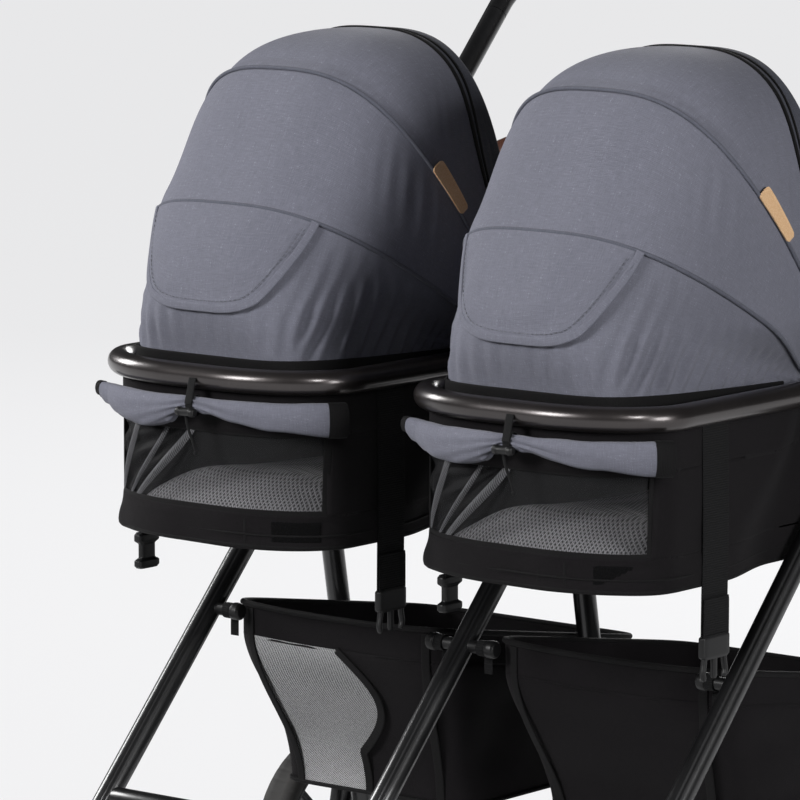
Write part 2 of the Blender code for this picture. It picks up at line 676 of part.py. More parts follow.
def make_seat(side, tag):
    """One seat: hoop, hubs, tub, mattress, canopy, bumper bar, flap and straps."""
    centre_x = side * SEAT_X
    outline = [place(centre_x + u, y, 0) for u, y in hoop_outline()]
    pieces = [bent_tube(f"hoop_{tag}", outline, HOOP_R, GUNMETAL, cyclic=True)]
    for hand, word in ((-1, "a"), (1, "b")):
        pieces.append(make_seat_hub(f"seat_hub_{tag}_{word}", centre_x, hand))
    pieces.append(make_tub(f"tub_{tag}", centre_x))
    pieces.append(make_mattress(f"mattress_{tag}", centre_x))
    pieces.append(make_roll(f"window_flap_{tag}", centre_x))
    pieces.append(make_strap(f"side_strap_{tag}", centre_x))
    pieces.append(make_female(f"buckle_socket_{tag}", centre_x))
    rear = canopy_panel(f"canopy_rear_{tag}", centre_x, 0.0, SEAM_REAR, 6)
    pieces.append(rear)
    pieces.append(canopy_bow(f"bow_rear_{tag}", centre_x, SEAM_REAR - BOW_LEAD, 0))
    pivot(f"tilt_axis_{tag}", place(centre_x, HUB_Y, 0), pieces)
    middle = [canopy_panel(f"canopy_mid_{tag}", centre_x, SEAM_REAR + PANEL_SPLIT, SEAM_FRONT, 4),
              canopy_bow(f"bow_mid_{tag}", centre_x, SEAM_FRONT - BOW_LEAD, 1)]
    front = [canopy_panel(f"canopy_front_{tag}", centre_x, SEAM_FRONT + PANEL_SPLIT, VISOR_ANGLE, 5),
             canopy_bow(f"bow_front_{tag}", centre_x, WIRE_ANGLE, 2)]
    pivot(f"canopy_axis_{tag}", place(centre_x, CANOPY_Y, 0), middle + front)
    bumper = make_bumper(f"bumper_bar_{tag}", centre_x)
    pivot(f"bumper_axis_{tag}", place(centre_x, BUMPER_Y, 0), [bumper])


def cross_rod(name, low, high, ends, look=BLACK_TUBE):
    """A rod along X with a fatter knob at each end that is named in ends."""
    profile = [(low, 0)]
    profile.append((low, KNOB_R if "low" in ends else ROD_R))
    if "low" in ends:
        profile += [(low + KNOB_LONG, KNOB_R), (low + KNOB_LONG, ROD_R)]
    if "high" in ends:
        profile += [(high - KNOB_LONG, ROD_R), (high - KNOB_LONG, KNOB_R)]
    profile.append((high, KNOB_R if "high" in ends else ROD_R))
    profile.append((high, 0))
    return turned(name, profile, look, sides=12)


def make_front_leg(tag, x):
    """A front leg tube with its cross rod; the outer ones end in a caster housing."""
    origin = place(x, HUB_Y, FOLD_Z)
    turn = FRONT_SLOPE - math.pi / 2
    outer = abs(x) > 0
    mid_drop = FOLD_Z - HOUSING_MID
    length = mid_drop / math.sin(FRONT_SLOPE) if outer else CENTRE_LEG - LEG_R - GAP
    leg = rod(f"front_leg_{tag}", (0, 0, -FOLD_HUB_R - GAP), (0, 0, -length), LEG_R, BLACK_TUBE,
              origin, turn)
    if outer:
        inward = -math.copysign(1.0, x)
        low, high = sorted((inward * ROD_REACH, -inward * 0.004))
        ends = ("low",) if inward < 0 else ("high",)
    else:
        low, high, ends = -ROD_REACH, ROD_REACH, ("low", "high")
    cross = cross_rod(f"front_leg_{tag}_rod", low, high, ends)
    for vertex in cross.data.vertices:
        vertex.co.z -= ROD_AT
    combine(leg, cross, "UNION")
    if outer:
        bm = bmesh.new()
        bmesh.ops.create_cone(bm, cap_ends=True, segments=20, radius1=HOUSING_R,
                              radius2=HOUSING_R, depth=HOUSING_DEEP)
        back = Matrix.Rotation(-turn, 4, "X")
        shift = Vector((0, CASTER_Y - HUB_Y, HOUSING_MID - FOLD_Z))
        bmesh.ops.transform(bm, matrix=back @ Matrix.Translation(shift), verts=bm.verts)
        housing = mesh_piece(f"front_leg_{tag}_housing", bm, BLACK_PLASTIC)
        combine(leg, housing, "UNION")
    return leg


def make_fold_hub(tag, x):
    """The hub where leg, rear leg and handle meet, with the posts that carry the seats."""
    origin = place(x, HUB_Y, FOLD_Z)
    half = FOLD_HUB_HALF
    hub = turned(f"fold_hub_{tag}", [(-half, 0), (-half, FOLD_HUB_R), (half, FOLD_HUB_R), (half, 0)],
                 BLACK_PLASTIC, origin)
    side = math.copysign(1.0, x) if x else 0.0
    offset = SIDE_PLANE - FRAME_X
    inner_plane = SEAT_X - HOOP_HALF
    if side:
        near, far = side * (offset - SEAT_HUB_HALF), side * (offset + SEAT_HUB_HALF)
        neck = sorted((near, side * half))
        head = sorted((near, far))
    else:
        neck = (-half, half)
        head = (-inner_plane - SEAT_HUB_HALF, inner_plane + SEAT_HUB_HALF)
    split = FOLD_HUB_R + 2 * GAP
    post = box(f"fold_hub_{tag}_neck", (neck[0], -POST_HALF, FOLD_HUB_R * 0.70),
               (neck[1], POST_HALF, split + POST_INTO))
    combine(hub, post, "UNION")
    top = FOLD_DROP - SEAT_HUB_R * 0.72
    saddle = box(f"fold_hub_{tag}_saddle", (head[0], -POST_HALF - POST_STEP, split),
                 (head[1], POST_HALF + POST_STEP, top))
    combine(hub, saddle, "UNION")
    wide = 1.2 * (abs(head[1]) + abs(head[0]))
    cup = rod(f"fold_hub_{tag}_cup", (-wide, 0, FOLD_DROP), (wide, 0, FOLD_DROP),
              bore_radius(SEAT_HUB_R, 32), sides=32)
    return combine(hub, cup, "DIFFERENCE")


def make_rear_leg(tag, x):
    """A rear leg whose forked top turns on the fold hub's axis."""
    origin = place(x, HUB_Y, FOLD_Z)
    turn = math.pi / 2 - REAR_SLOPE
    half = FOLD_HUB_HALF + GAP + CLEVIS_PLATE
    outline = [(CLEVIS_R * math.sin(a), CLEVIS_R * math.cos(a))
               for a in np.radians(np.linspace(-90, 90, 11))]
    outline += [(CLEVIS_R, -CLEVIS_LONG), (-CLEVIS_R, -CLEVIS_LONG)]
    leg = slab(f"rear_leg_{tag}", outline, -half, half, BLACK_TUBE, origin, turn)
    slot = box(f"rear_leg_{tag}_slot",
               (CLEVIS_PLATE - half, -0.05, -CLEVIS_SLOT), (half - CLEVIS_PLATE, 0.05, 0.05))
    combine(leg, slot, "DIFFERENCE")
    tube = rod(f"rear_leg_{tag}_tube", (0, 0, -CLEVIS_LONG + 0.01),
               (0, 0, -REAR_LEG + AXLE_TUBE_R + GAP), LEG_R)
    return combine(leg, tube, "UNION")


def make_rear_axle():
    """A stepped axle: thick between the legs, thin through the wheels."""
    shoulder = FRAME_X + LEG_R
    tip = REAR_WHEEL_X + REAR_WHEEL_HALF
    profile = [(-tip, 0), (-tip, AXLE_R), (-shoulder, AXLE_R), (-shoulder, AXLE_TUBE_R),
               (shoulder, AXLE_TUBE_R), (shoulder, AXLE_R), (tip, AXLE_R), (tip, 0)]
    return turned("rear_axle", profile, BLACK_TUBE, place(0, REAR_AXLE_Y, REAR_AXLE_Z), sides=16)


def make_brake():
    """The brake's block on the rear axle, and its foot pedal behind it."""
    origin = place(BRAKE_X, REAR_AXLE_Y, REAR_AXLE_Z)
    block = box("brake_block", (-BRAKE_HALF, -BRAKE_BLOCK, -BRAKE_BLOCK),
                (BRAKE_HALF, BRAKE_BLOCK, BRAKE_BLOCK), BLACK_PLASTIC, origin)
    wide = 1.2 * BRAKE_HALF
    bore = rod("brake_block_bore", (-wide, 0, 0), (wide, 0, 0), bore_radius(AXLE_TUBE_R, 16))
    combine(block, bore, "DIFFERENCE")
    thick = PEDAL_THICK / 2
    hinge = place(BRAKE_X, REAR_AXLE_Y + BRAKE_BLOCK + SWIVEL_GAP + thick, REAR_AXLE_Z)
    outline = [(thick * math.cos(a), thick * math.sin(a)) for a in np.radians(np.linspace(90, 270, 9))]
    outline += [(PEDAL_LONG, -thick - PEDAL_FALL), (PEDAL_LONG, thick - PEDAL_FALL)]
    pedal = slab("brake_pedal", outline, -PEDAL_HALF, PEDAL_HALF, BLACK_PLASTIC, hinge)
    pivot("brake_axis", hinge, [pedal])
    return block


def make_wheel(tag, centre, radius, half):
    """A tyre and a rim with round holes, on the X axis through centre."""
    step = math.pi / WHEEL_SIDES
    grow = 1 / math.cos(step)
    rim_r = radius - TYRE_DEEP
    round_off = half * 0.45
    tyre_profile = [(-half * 0.75, rim_r), (-half, rim_r + TYRE_DEEP * 0.35),
                    (-half, radius - round_off), (-half + round_off, radius),
                    (half - round_off, radius), (half, radius - round_off),
                    (half, rim_r + TYRE_DEEP * 0.35), (half * 0.75, rim_r)]
    tyre_profile = [(x, r * grow) for x, r in tyre_profile]
    tyre = turned(f"{tag}_tyre", tyre_profile, TYRE_RUBBER, centre, WHEEL_SIDES, start_angle=step)
    edge = rim_r - GAP
    wall = 0.007
    bore = bore_radius(AXLE_R, WHEEL_SIDES, BORE_PLAY)
    web = half * 0.35
    hub_r = 0.016
    lip = half * 0.75
    rim_profile = [(-half + 0.001, bore), (-half + 0.001, hub_r), (-web, hub_r + 0.002),
                   (-web, edge - wall), (-lip, edge), (lip, edge), (web, edge - wall),
                   (web, hub_r + 0.002), (half - 0.001, hub_r), (half - 0.001, bore)]
    rim_profile = [(x, r * (grow if r > 0.02 else 1)) for x, r in rim_profile]
    rim = turned(f"{tag}_rim", rim_profile, RIM_GREY, centre, WHEEL_SIDES, start_angle=step)
    inner, outer = hub_r + 0.005, edge - wall - 0.005
    middle, hole_r = (inner + outer) / 2, (outer - inner) / 2
    hole_r = min(hole_r, middle * math.sin(math.pi / SPOKE_HOLES) - 0.003)
    bm = bmesh.new()
    for k in range(SPOKE_HOLES):
        angle = 2 * math.pi * k / SPOKE_HOLES
        shift = Matrix.Translation((0, middle * math.cos(angle), middle * math.sin(angle)))
        lay = Matrix.Rotation(math.pi / 2, 4, "Y")
        bmesh.ops.create_cone(bm, cap_ends=True, segments=8, radius1=hole_r, radius2=hole_r,
                              depth=3 * half, matrix=shift @ lay)
    holes = mesh_piece(f"{tag}_holes", bm, RIM_GREY)
    combine(rim, holes, "DIFFERENCE")
    return tyre, rim


def make_caster(tag, x):
    """A swivel fork with its front wheel."""
    crown_top = HOUSING_BASE - GAP
    origin = place(x, CASTER_Y, crown_top)
    bm = bmesh.new()
    bmesh.ops.create_cone(bm, cap_ends=True, segments=24, radius1=CROWN_R, radius2=CROWN_R,
                          depth=CROWN_DEEP, matrix=Matrix.Translation((0, 0, -CROWN_DEEP / 2)))
    fork = mesh_piece(f"caster_fork_{tag}", bm, BLACK_PLASTIC, origin)
    inner = FRONT_WHEEL_HALF + FORK_SIDE
    outer = inner + FORK_PLATE
    drop = crown_top - FRONT_AXLE_Z
    bridge = box(f"caster_fork_{tag}_bridge", (-outer, -0.012, -CROWN_DEEP + 0.0004),
                 (outer, 0.014, -0.0016))
    combine(fork, bridge, "UNION")
    boss = 0.011
    for hand, word in ((-1, "a"), (1, "b")):
        low, high = sorted((hand * inner, hand * outer))
        arc = np.radians(np.linspace(180, 360, 9))
        outline = [(FRONT_TRAIL + boss * math.cos(a), -drop + boss * math.sin(a)) for a in arc]
        outline += [(0.0145, -0.003), (-0.0125, -0.003)]
        plate = slab(f"caster_fork_{tag}_plate_{word}", outline, low, high, BLACK_PLASTIC)
        combine(fork, plate, "UNION")
    pin = rod(f"caster_fork_{tag}_pin", (-outer + 0.001, FRONT_TRAIL, -drop),
              (outer - 0.001, FRONT_TRAIL, -drop), AXLE_R, sides=16)
    combine(fork, pin, "UNION")
    centre = place(x, FRONT_AXLE_Y, FRONT_AXLE_Z)
    wheel = make_wheel(f"front_wheel_{tag}", centre, FRONT_WHEEL_R, FRONT_WHEEL_HALF)
    axle = pivot(f"front_wheel_axis_{tag}", centre, wheel)
    swivel = pivot(f"swivel_axis_{tag}", origin, [fork])
    axle.parent = swivel
    axle.matrix_parent_inverse = Matrix.Translation(-origin)


def make_handle():
    """Arms with their hubs, the bent bar between them, its grip and the fold button."""
    turn = math.pi / 2 + HANDLE_SLOPE
    origin = place(0, HUB_Y, FOLD_Z)
    pieces = []
    outer = ARM_X + LEG_R + SWIVEL_GAP
    for side, tag in ((-1, "left"), (1, "right")):
        arm_end = HANDLE_LENGTH - HANDLE_BEND - BAR_LEAD - GAP
        arm = rod(f"handle_arm_{tag}", (side * ARM_X, 0, -ARM_FROM), (side * ARM_X, 0, -arm_end),
                  LEG_R, BLACK_TUBE, origin, turn)
        low, high = sorted((side * HANDLE_HUB_IN, side * outer))
        hub = turned(f"handle_arm_{tag}_hub", [(low, 0), (low, FOLD_HUB_R), (high, FOLD_HUB_R), (high, 0)],
                     BLACK_PLASTIC)
        combine(arm, hub, "UNION")
        pieces.append(arm)
    bend = HANDLE_BEND
    flat = [(-ARM_X, HANDLE_LENGTH - bend - BAR_LEAD)]
    flat += corner(-(ARM_X - bend), HANDLE_LENGTH - bend, bend, bend, 180, 90, 8)
    flat += [(-u, out) for u, out in reversed(flat)]
    c, s = math.cos(HANDLE_SLOPE), math.sin(HANDLE_SLOPE)
    path = [place(u, HUB_Y + out * c, FOLD_Z + out * s) for u, out in flat]
    pieces.append(bent_tube("handle_bar", path, LEG_R, BLACK_TUBE))
    bore = LEG_R + GAP
    middle = place(0, HUB_Y + HANDLE_LENGTH * c, FOLD_Z + HANDLE_LENGTH * s)
    profile = [(-GRIP_HALF, bore), (-GRIP_HALF, GRIP_R - 0.002), (0.004 - GRIP_HALF, GRIP_R),
               (GRIP_HALF - 0.004, GRIP_R), (GRIP_HALF, GRIP_R - 0.002), (GRIP_HALF, bore)]
    grip = turned("handle_grip", profile, BROWN_LEATHER, middle, sides=16)
    hole = rod("handle_grip_hole", (0, 0, -GRIP_R - 0.01), (0, 0, -0.002), BUTTON_R + 2 * GAP, sides=20)
    combine(grip, hole, "DIFFERENCE")
    pieces.append(grip)
    top = -(bore + BUTTON_TRAVEL)
    bm = bmesh.new()
    bmesh.ops.create_cone(bm, cap_ends=True, segments=20, radius1=BUTTON_R * 0.86, radius2=BUTTON_R,
                          depth=BUTTON_LONG, matrix=Matrix.Translation((0, 0, top - BUTTON_LONG / 2)))
    button = mesh_piece("fold_button", bm, BLACK_PLASTIC, middle)
    pieces.append(button)
    pivot("handle_axis", origin, pieces)


def make_basket(side, tag):
    """An open fabric basket hung behind the cross rods."""
    centre_x = side * (BASKET_IN + BASKET_OUT) / 2
    half = (BASKET_OUT - BASKET_IN) / 2
    front = ROD_Y + KNOB_R + GAP
    rings = []
    levels = (1.0, 0.5, BASKET_UPRIGHT, 0.0)
    for wall, order in ((0.0, levels), (BASKET_WALL, levels[::-1])):
        for level in order:
            taper = BASKET_TAPER * smooth((level - BASKET_UPRIGHT) / (1 - BASKET_UPRIGHT))
            start = front + wall + BASKET_FRONT_LEAN * taper
            end = BASKET_BACK - wall - taper
            rows = []
            for share in (0.0, 0.25, 0.75, 1.0):
                y = start + (end - start) * share
                rim = -(BASKET_RIM + BASKET_RIM_FALL * share)
                base = -BASKET_FLOOR + wall
                z = rim + (base - rim) * level
                inset = taper + (BASKET_CORNER if share in (0.0, 1.0) else 0.0)
                rows.append((y, half - wall - inset, z))
            rings.append(mirrored_ring(rows, centre_x))
    bm = bmesh.new()
    made = loft(bm, rings)
    strip_cap(bm, made[0])
    strip_cap(bm, made[-1])
    return mesh_piece(f"basket_{tag}", bm, SHEER_MESH)


def make_chassis():
    """Side frames, cross tube, baskets, rear frame with its axle, and wheels."""
    rear = []
    for tag, x in (("left", -FRAME_X), ("centre", 0.0), ("right", FRAME_X)):
        make_front_leg(tag, x)
        make_fold_hub(tag, x)
        rear.append(make_rear_leg(tag, x))
    c, s = math.cos(FRONT_SLOPE), math.sin(FRONT_SLOPE)
    span = FRAME_X - LEG_R - GAP
    y, z = HUB_Y - CENTRE_LEG * c, FOLD_Z - CENTRE_LEG * s
    rod("front_cross_tube", (-span, 0, 0), (span, 0, 0), LEG_R, BLACK_TUBE, place(0, y, z))
    for side, tag in ((-1, "left"), (1, "right")):
        make_basket(side, tag)
        make_caster(tag, side * FRAME_X)
        centre = place(side * REAR_WHEEL_X, REAR_AXLE_Y, REAR_AXLE_Z)
        wheel = make_wheel(f"rear_wheel_{tag}", centre, REAR_WHEEL_R, REAR_WHEEL_HALF)
        pivot(f"rear_wheel_axis_{tag}", centre, wheel)
    rear.append(make_rear_axle())
    rear.append(make_brake())
    pivot("rear_fold_axis", place(0, HUB_Y, FOLD_Z), rear)


make_chassis()
make_handle()
for seat_side, seat_tag in ((-1, "left"), (1, "right")):
    make_seat(seat_side, seat_tag)
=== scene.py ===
# %% [markdown]
# # A side by side twin stroller, dressed for its picture
#
# The stroller comes from the CAD part as rigid solids, each on the body that carries it.
# This lesson puts the real thing's skins over those solids: woven canopies, mesh windows,
# leather, rubber and painted tube. The solids stay what the joints and collisions use,
# and every new piece here stands for one of them or sits on one.
#
# The first cell only brings the frame in and keeps its outer box, because nothing that is
# added later may make the stroller bigger.

# %% Bring in the frame
import math

import bmesh
import bpy
import numpy as np
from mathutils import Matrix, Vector


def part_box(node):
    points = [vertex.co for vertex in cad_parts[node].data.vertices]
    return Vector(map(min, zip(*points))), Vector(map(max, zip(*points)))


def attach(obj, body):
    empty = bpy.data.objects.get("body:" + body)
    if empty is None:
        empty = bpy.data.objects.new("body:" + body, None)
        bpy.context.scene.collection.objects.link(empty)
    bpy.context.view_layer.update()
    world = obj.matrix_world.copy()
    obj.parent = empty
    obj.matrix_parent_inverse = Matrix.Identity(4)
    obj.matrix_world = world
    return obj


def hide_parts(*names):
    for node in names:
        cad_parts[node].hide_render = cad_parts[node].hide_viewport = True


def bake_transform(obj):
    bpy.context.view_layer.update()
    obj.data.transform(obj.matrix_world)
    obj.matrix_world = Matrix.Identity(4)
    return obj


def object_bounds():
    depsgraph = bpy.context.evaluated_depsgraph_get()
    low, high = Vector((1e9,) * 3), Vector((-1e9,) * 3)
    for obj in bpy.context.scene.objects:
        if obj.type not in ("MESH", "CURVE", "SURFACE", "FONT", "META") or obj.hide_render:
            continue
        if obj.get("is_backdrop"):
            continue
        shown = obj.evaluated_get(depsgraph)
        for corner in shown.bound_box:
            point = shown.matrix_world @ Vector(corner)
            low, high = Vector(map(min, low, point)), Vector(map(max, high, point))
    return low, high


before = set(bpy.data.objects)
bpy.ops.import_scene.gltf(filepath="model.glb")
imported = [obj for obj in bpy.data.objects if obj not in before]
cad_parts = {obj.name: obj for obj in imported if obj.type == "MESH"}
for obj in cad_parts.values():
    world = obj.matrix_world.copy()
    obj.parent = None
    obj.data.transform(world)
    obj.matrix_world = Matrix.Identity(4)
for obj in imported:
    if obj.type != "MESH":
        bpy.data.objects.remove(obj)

cad_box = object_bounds()

# %% [markdown]
# ## The stroller's own measures
#
# The camera looks at the head ends of the two seats, and most things on a seat are
# placed from there. So the lesson measures x from the middle of the stroller, y from the
# head end of the seat hoops and z from the plane of the hoops. One function turns such
# a point into the frame's coordinates, for one point or for a whole array of them.

# %% Measures and places
HOOP_R = 0.012
HOOP_HEIGHT = 0.655
HOOP_HALF = 0.1405
HOOP_LENGTH = 0.735
CORNER_X, CORNER_Y = 0.115, 0.071
SEAT_X = HOOP_HALF + 0.0495
FRAME_X = SEAT_X + HOOP_HALF - 0.0105
HUB_Y, FOLD_Z = 0.338, -0.085
LEG_R = 0.0115
HEAD_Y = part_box("hoop_left")[0][1] + HOOP_R
SEATS = {"left": -SEAT_X, "right": SEAT_X}


def at(x, y, z):
    """Points measured from the hoops, as frame coordinates: y and z only shift."""
    x, y, z = np.broadcast_arrays(x, y, z)
    return np.stack([x, y + HEAD_Y, z + HOOP_HEIGHT], axis=-1).astype(float)


def place_local(seat, grid):
    """A grid of points in a seat's own coordinates, as frame coordinates."""
    return at(seat + grid[..., 0], grid[..., 1], grid[..., 2])


print(f"head end at y = {HEAD_Y:.4f} m")

# %% [markdown]
# ## The camera
#
# The picture is a view from the front right, a little above the seats. It was matched by
# fitting the ellipses of the two hoops: a long lens from five metres away keeps the far
# seat almost as big as the near one. A long lens is used rather than a wide one close
# by, because a wide one would make the near canopy much larger than the other.

# %% The camera
VIEW_AZIMUTH = math.radians(38.97)
VIEW_RISE = math.radians(8.167)
VIEW_DISTANCE = 4.984
AIM = at(0.062, 0.0, -0.0007)
LENS = 243.99

look = Vector((-math.sin(VIEW_AZIMUTH) * math.cos(VIEW_RISE),
               math.cos(VIEW_AZIMUTH) * math.cos(VIEW_RISE), -math.sin(VIEW_RISE)))
lens = bpy.data.cameras.new("camera")
lens.lens = LENS
lens.clip_end = 100.0
camera = bpy.data.objects.new("camera", lens)
bpy.context.scene.collection.objects.link(camera)
camera.location = Vector(AIM) - look * VIEW_DISTANCE
camera.rotation_euler = look.to_track_quat("-Z", "Y").to_euler()
bpy.context.scene.camera = camera
print("camera at", [round(v, 3) for v in camera.location])

# %% [markdown]
# ## Shapes as arrays
#
# A sheet of cloth, a tube and a turned knob are all the same thing to numpy: a grid of
# points, with rows and columns. Working the grid out as a whole array is quick and says
# in one line what the shape is. This cell has the small tools that the shapes share.

# %% Easing, unit vectors and smooth curves
def ease(value):
    """3v² − 2v³ between 0 and 1, so that a change starts and ends level."""
    value = np.clip(value, 0.0, 1.0)
    return value * value * (3 - 2 * value)


def unit(vectors):
    """Each vector divided by its length."""
    return vectors / np.maximum(np.linalg.norm(vectors, axis=-1, keepdims=True), 1e-12)


def through(knots, values, where):
    """A cubic through chosen values, whose slope at each knot is that of its neighbours."""
    slopes = np.gradient(values, knots)
    k = np.clip(np.searchsorted(knots, where) - 1, 0, len(knots) - 2)
    span = knots[k + 1] - knots[k]
    t = (where - knots[k]) / span
    rise = values[k + 1] - values[k]
    bend = t * (1 - t) * (span * ((1 - t) * slopes[k] - t * slopes[k + 1]) - (1 - 2 * t) * rise)
    return values[k] + ease(t) * rise + bend


def flowing(points, count):
    """The same cubic through points in space, sampled at even steps of its length."""
    points = np.asarray(points, dtype=float)
    steps = np.linalg.norm(np.diff(points, axis=0), axis=1)
    run = np.concatenate([[0.0], np.cumsum(steps)])
    fine = np.linspace(0, run[-1], 12 * count)
    dense = np.stack([through(run, points[:, k], fine) for k in range(points.shape[1])], axis=1)
    return evenly(dense, count)


def evenly(path, count, loop=False):
    """A polyline cut again into count points at equal distances along it."""
    if loop:
        path = np.concatenate([path, path[:1]])
    run = np.concatenate([[0.0], np.cumsum(np.linalg.norm(np.diff(path, axis=0), axis=1))])
    where = np.linspace(0, run[-1], count, endpoint=not loop)
    return np.stack([np.interp(where, run, path[:, k]) for k in range(path.shape[1])], axis=1)


def ripples(points, size, seed, waves=7):
    """An uneven height between −1 and 1: the mean of sine waves about size long, in seeded directions."""
    chance = np.random.default_rng(seed)
    ways = unit(chance.normal(size=(waves, 3)))
    lengths = size * chance.uniform(0.6, 1.6, (waves, 1))
    shifts = chance.uniform(0, 2 * np.pi, waves)
    return np.sin(points @ (ways / lengths * 2 * np.pi).T + shifts).mean(axis=-1)


# %% [markdown]
# ## From a grid to a mesh
#
# The grid becomes quads, and each corner gets a UV in metres, measured along the cloth.
# A weave drawn on that UV has its true size everywhere and follows the piece, where one
# drawn in space would cut across a curved panel. A closed shape is checked by its signed
# volume, and turned if its faces point inwards.

# %% Surfaces
def faces_of(rows, columns, loop, tube):
    """Corner numbers of each quad, as row and column, before they wrap round."""
    i, j = np.meshgrid(np.arange(rows - (not loop)), np.arange(columns - (not tube)), indexing="ij")
    i, j = i.ravel(), j.ravel()
    return np.stack([i, i, i + 1, i + 1], axis=1), np.stack([j, j + 1, j + 1, j], axis=1)


def surface(name, grid, loop=False, tube=False, caps=False, flip=False, sharp=60):
    """A mesh from rows and columns of points; loop joins the last row to the first, tube the columns."""
    rows, columns = grid.shape[:2]
    wrapped = np.concatenate([grid, grid[:1]]) if loop else grid
    wrapped = np.concatenate([wrapped, wrapped[:, :1]], axis=1) if tube else wrapped
    across = np.cumsum(np.linalg.norm(np.diff(wrapped, axis=1), axis=2), axis=1)
    across = np.pad(across, ((0, 0), (1, 0)))
    across = across - across[:, -1:] / 2
    if tube:
        across = np.broadcast_to(across.mean(axis=0), across.shape)
    along = np.linalg.norm(np.diff(wrapped, axis=0), axis=2).mean(axis=1)
    along = np.concatenate([[0.0], np.cumsum(along)])
    i, j = faces_of(rows, columns, loop, tube)
    corners = (i % rows) * columns + j % columns
    uv = np.stack([across[i, j], along[i]], axis=-1)
    if flip:
        corners, uv = corners[:, ::-1], uv[:, ::-1]
    faces = corners.tolist()
    uv = uv.reshape(-1, 2)
    if caps:
        first, last = list(range(columns)), [(rows - 1) * columns + k for k in range(columns)]
        faces += [first[::-1], last] if not flip else [first, last[::-1]]
        uv = np.concatenate([uv, np.zeros((2 * columns, 2))])
    data = bpy.data.meshes.new(name)
    data.from_pydata(grid.reshape(-1, 3).tolist(), [], faces)
    layer = data.uv_layers.new(name="cloth")
    layer.data.foreach_set("uv", uv.astype(np.float32).ravel())
    if (tube and caps) or (tube and loop):
        turn_out(data)
    data.shade_smooth()
    data.set_sharp_from_angle(angle=math.radians(sharp))
    made = bpy.data.objects.new(name, data)
    bpy.context.scene.collection.objects.link(made)
    return made


def turn_out(data):
    """Turns a closed mesh's faces outwards if the sum of its signed volumes is negative."""
    points = np.empty(len(data.vertices) * 3)
    data.vertices.foreach_get("co", points)
    points = points.reshape(-1, 3)
    data.calc_loop_triangles()
    corners = np.empty(len(data.loop_triangles) * 3, dtype=np.int32)
    data.loop_triangles.foreach_get("vertices", corners)
    a, b, c = points[corners.reshape(-1, 3)].transpose(1, 0, 2)
    if np.einsum("ij,ij->i", a, np.cross(b, c)).sum() < 0:
        data.flip_normals()


def frames(path, hint, loop=False):
    """Side and up along a path: side is tangent × hint, and up is square to both."""
    ahead = np.roll(path, -1, axis=0) - np.roll(path, 1, axis=0) if loop else np.gradient(path, axis=0)
    ahead = unit(ahead)
    side = unit(np.cross(ahead, hint))
    return side, np.cross(side, ahead)


def carried(path, outline, hint, loop=False, scale=1.0):
    """An outline of (a, b) points carried along a path: path + a·side + b·up at each step."""
    side, up = frames(path, np.asarray(hint, dtype=float), loop)
    scale = np.broadcast_to(scale, len(path))[:, None, None]
    a, b = outline[None, :, :1], outline[None, :, 1:]
    return path[:, None] + scale * (a * side[:, None] + b * up[:, None])


def ring(radius, sides=24):
    """A circle of (a, b) points."""
    angle = np.arange(sides) * 2 * np.pi / sides
    return radius * np.stack([np.cos(angle), np.sin(angle)], axis=1)


def band(wide, thick, sides=20, square=0.45):
    """A flat rounded outline: cosine and sine, each raised to a small power to fill its corners."""
    angle = np.arange(sides) * 2 * np.pi / sides
    c, s = np.cos(angle), np.sin(angle)
    return np.stack([wide / 2 * np.sign(c) * np.abs(c) ** square,
                     thick / 2 * np.sign(s) * np.abs(s) ** square], axis=1)


def eased(points, radius, steps=4, loop=False):
    """An outline whose corners are quadratic arcs that start radius before them and end radius after."""
    p = np.asarray(points, dtype=float)
    before, middle, after = p[:-2], p[1:-1], p[2:]
    if loop:
        before, middle, after = np.roll(p, 1, axis=0), p, np.roll(p, -1, axis=0)

    def towards(other):
        gap = other - middle
        long = np.linalg.norm(gap, axis=1, keepdims=True)
        return middle + gap / long * np.minimum(radius, 0.45 * long)

    t = np.linspace(0, 1, steps)[None, :, None]
    start, end = towards(before)[:, None], towards(after)[:, None]
    arcs = (1 - t) ** 2 * start + 2 * t * (1 - t) * middle[:, None] + t ** 2 * end
    arcs = arcs.reshape(-1, p.shape[1])
    return arcs if loop else np.concatenate([p[:1], arcs, p[-1:]])


def turned(profile, centre, sides=64, axis=(1, 0, 0), wave=None):
    """A profile of (along, radius) spun round an axis through centre; wave may add to the radius."""
    axis = unit(np.asarray(axis, dtype=float))
    first = unit(np.cross(axis, [0.31, 0.2, 0.93]))
    second = np.cross(axis, first)
    angle = np.arange(sides) * 2 * np.pi / sides
    out = np.cos(angle)[:, None] * first + np.sin(angle)[:, None] * second
    radius = np.broadcast_to(profile[:, 1:], (len(profile), sides))
    if wave is not None:
        radius = radius + wave(profile[:, :1], radius, angle[None, :])
    return np.asarray(centre) + profile[:, :1, None] * axis + radius[..., None] * out


def strand(name, path, outline, hint, scale=1.0):
    """A closed piece: an outline carried along a path, with a cap at both ends."""
    return surface(name, carried(path, outline, hint, scale=scale), tube=True, caps=True)


def closed_strand(name, path, outline, hint):
    """A closed piece: an outline carried round a path whose end meets its start."""
    return surface(name, carried(path, outline, hint, loop=True), loop=True, tube=True)


def knob(name, profile, soft, centre, sides=64, axis=(1, 0, 0)):
    """A closed piece: a profile with eased corners, turned round an axis and capped."""
    return surface(name, turned(eased(profile, soft), centre, sides, axis), tube=True, caps=True)


def mirrored(half):
    """A whole profile of (along, radius) from the half with along above 0."""
    return np.concatenate([half[::-1] * np.array([-1.0, 1.0]), half])


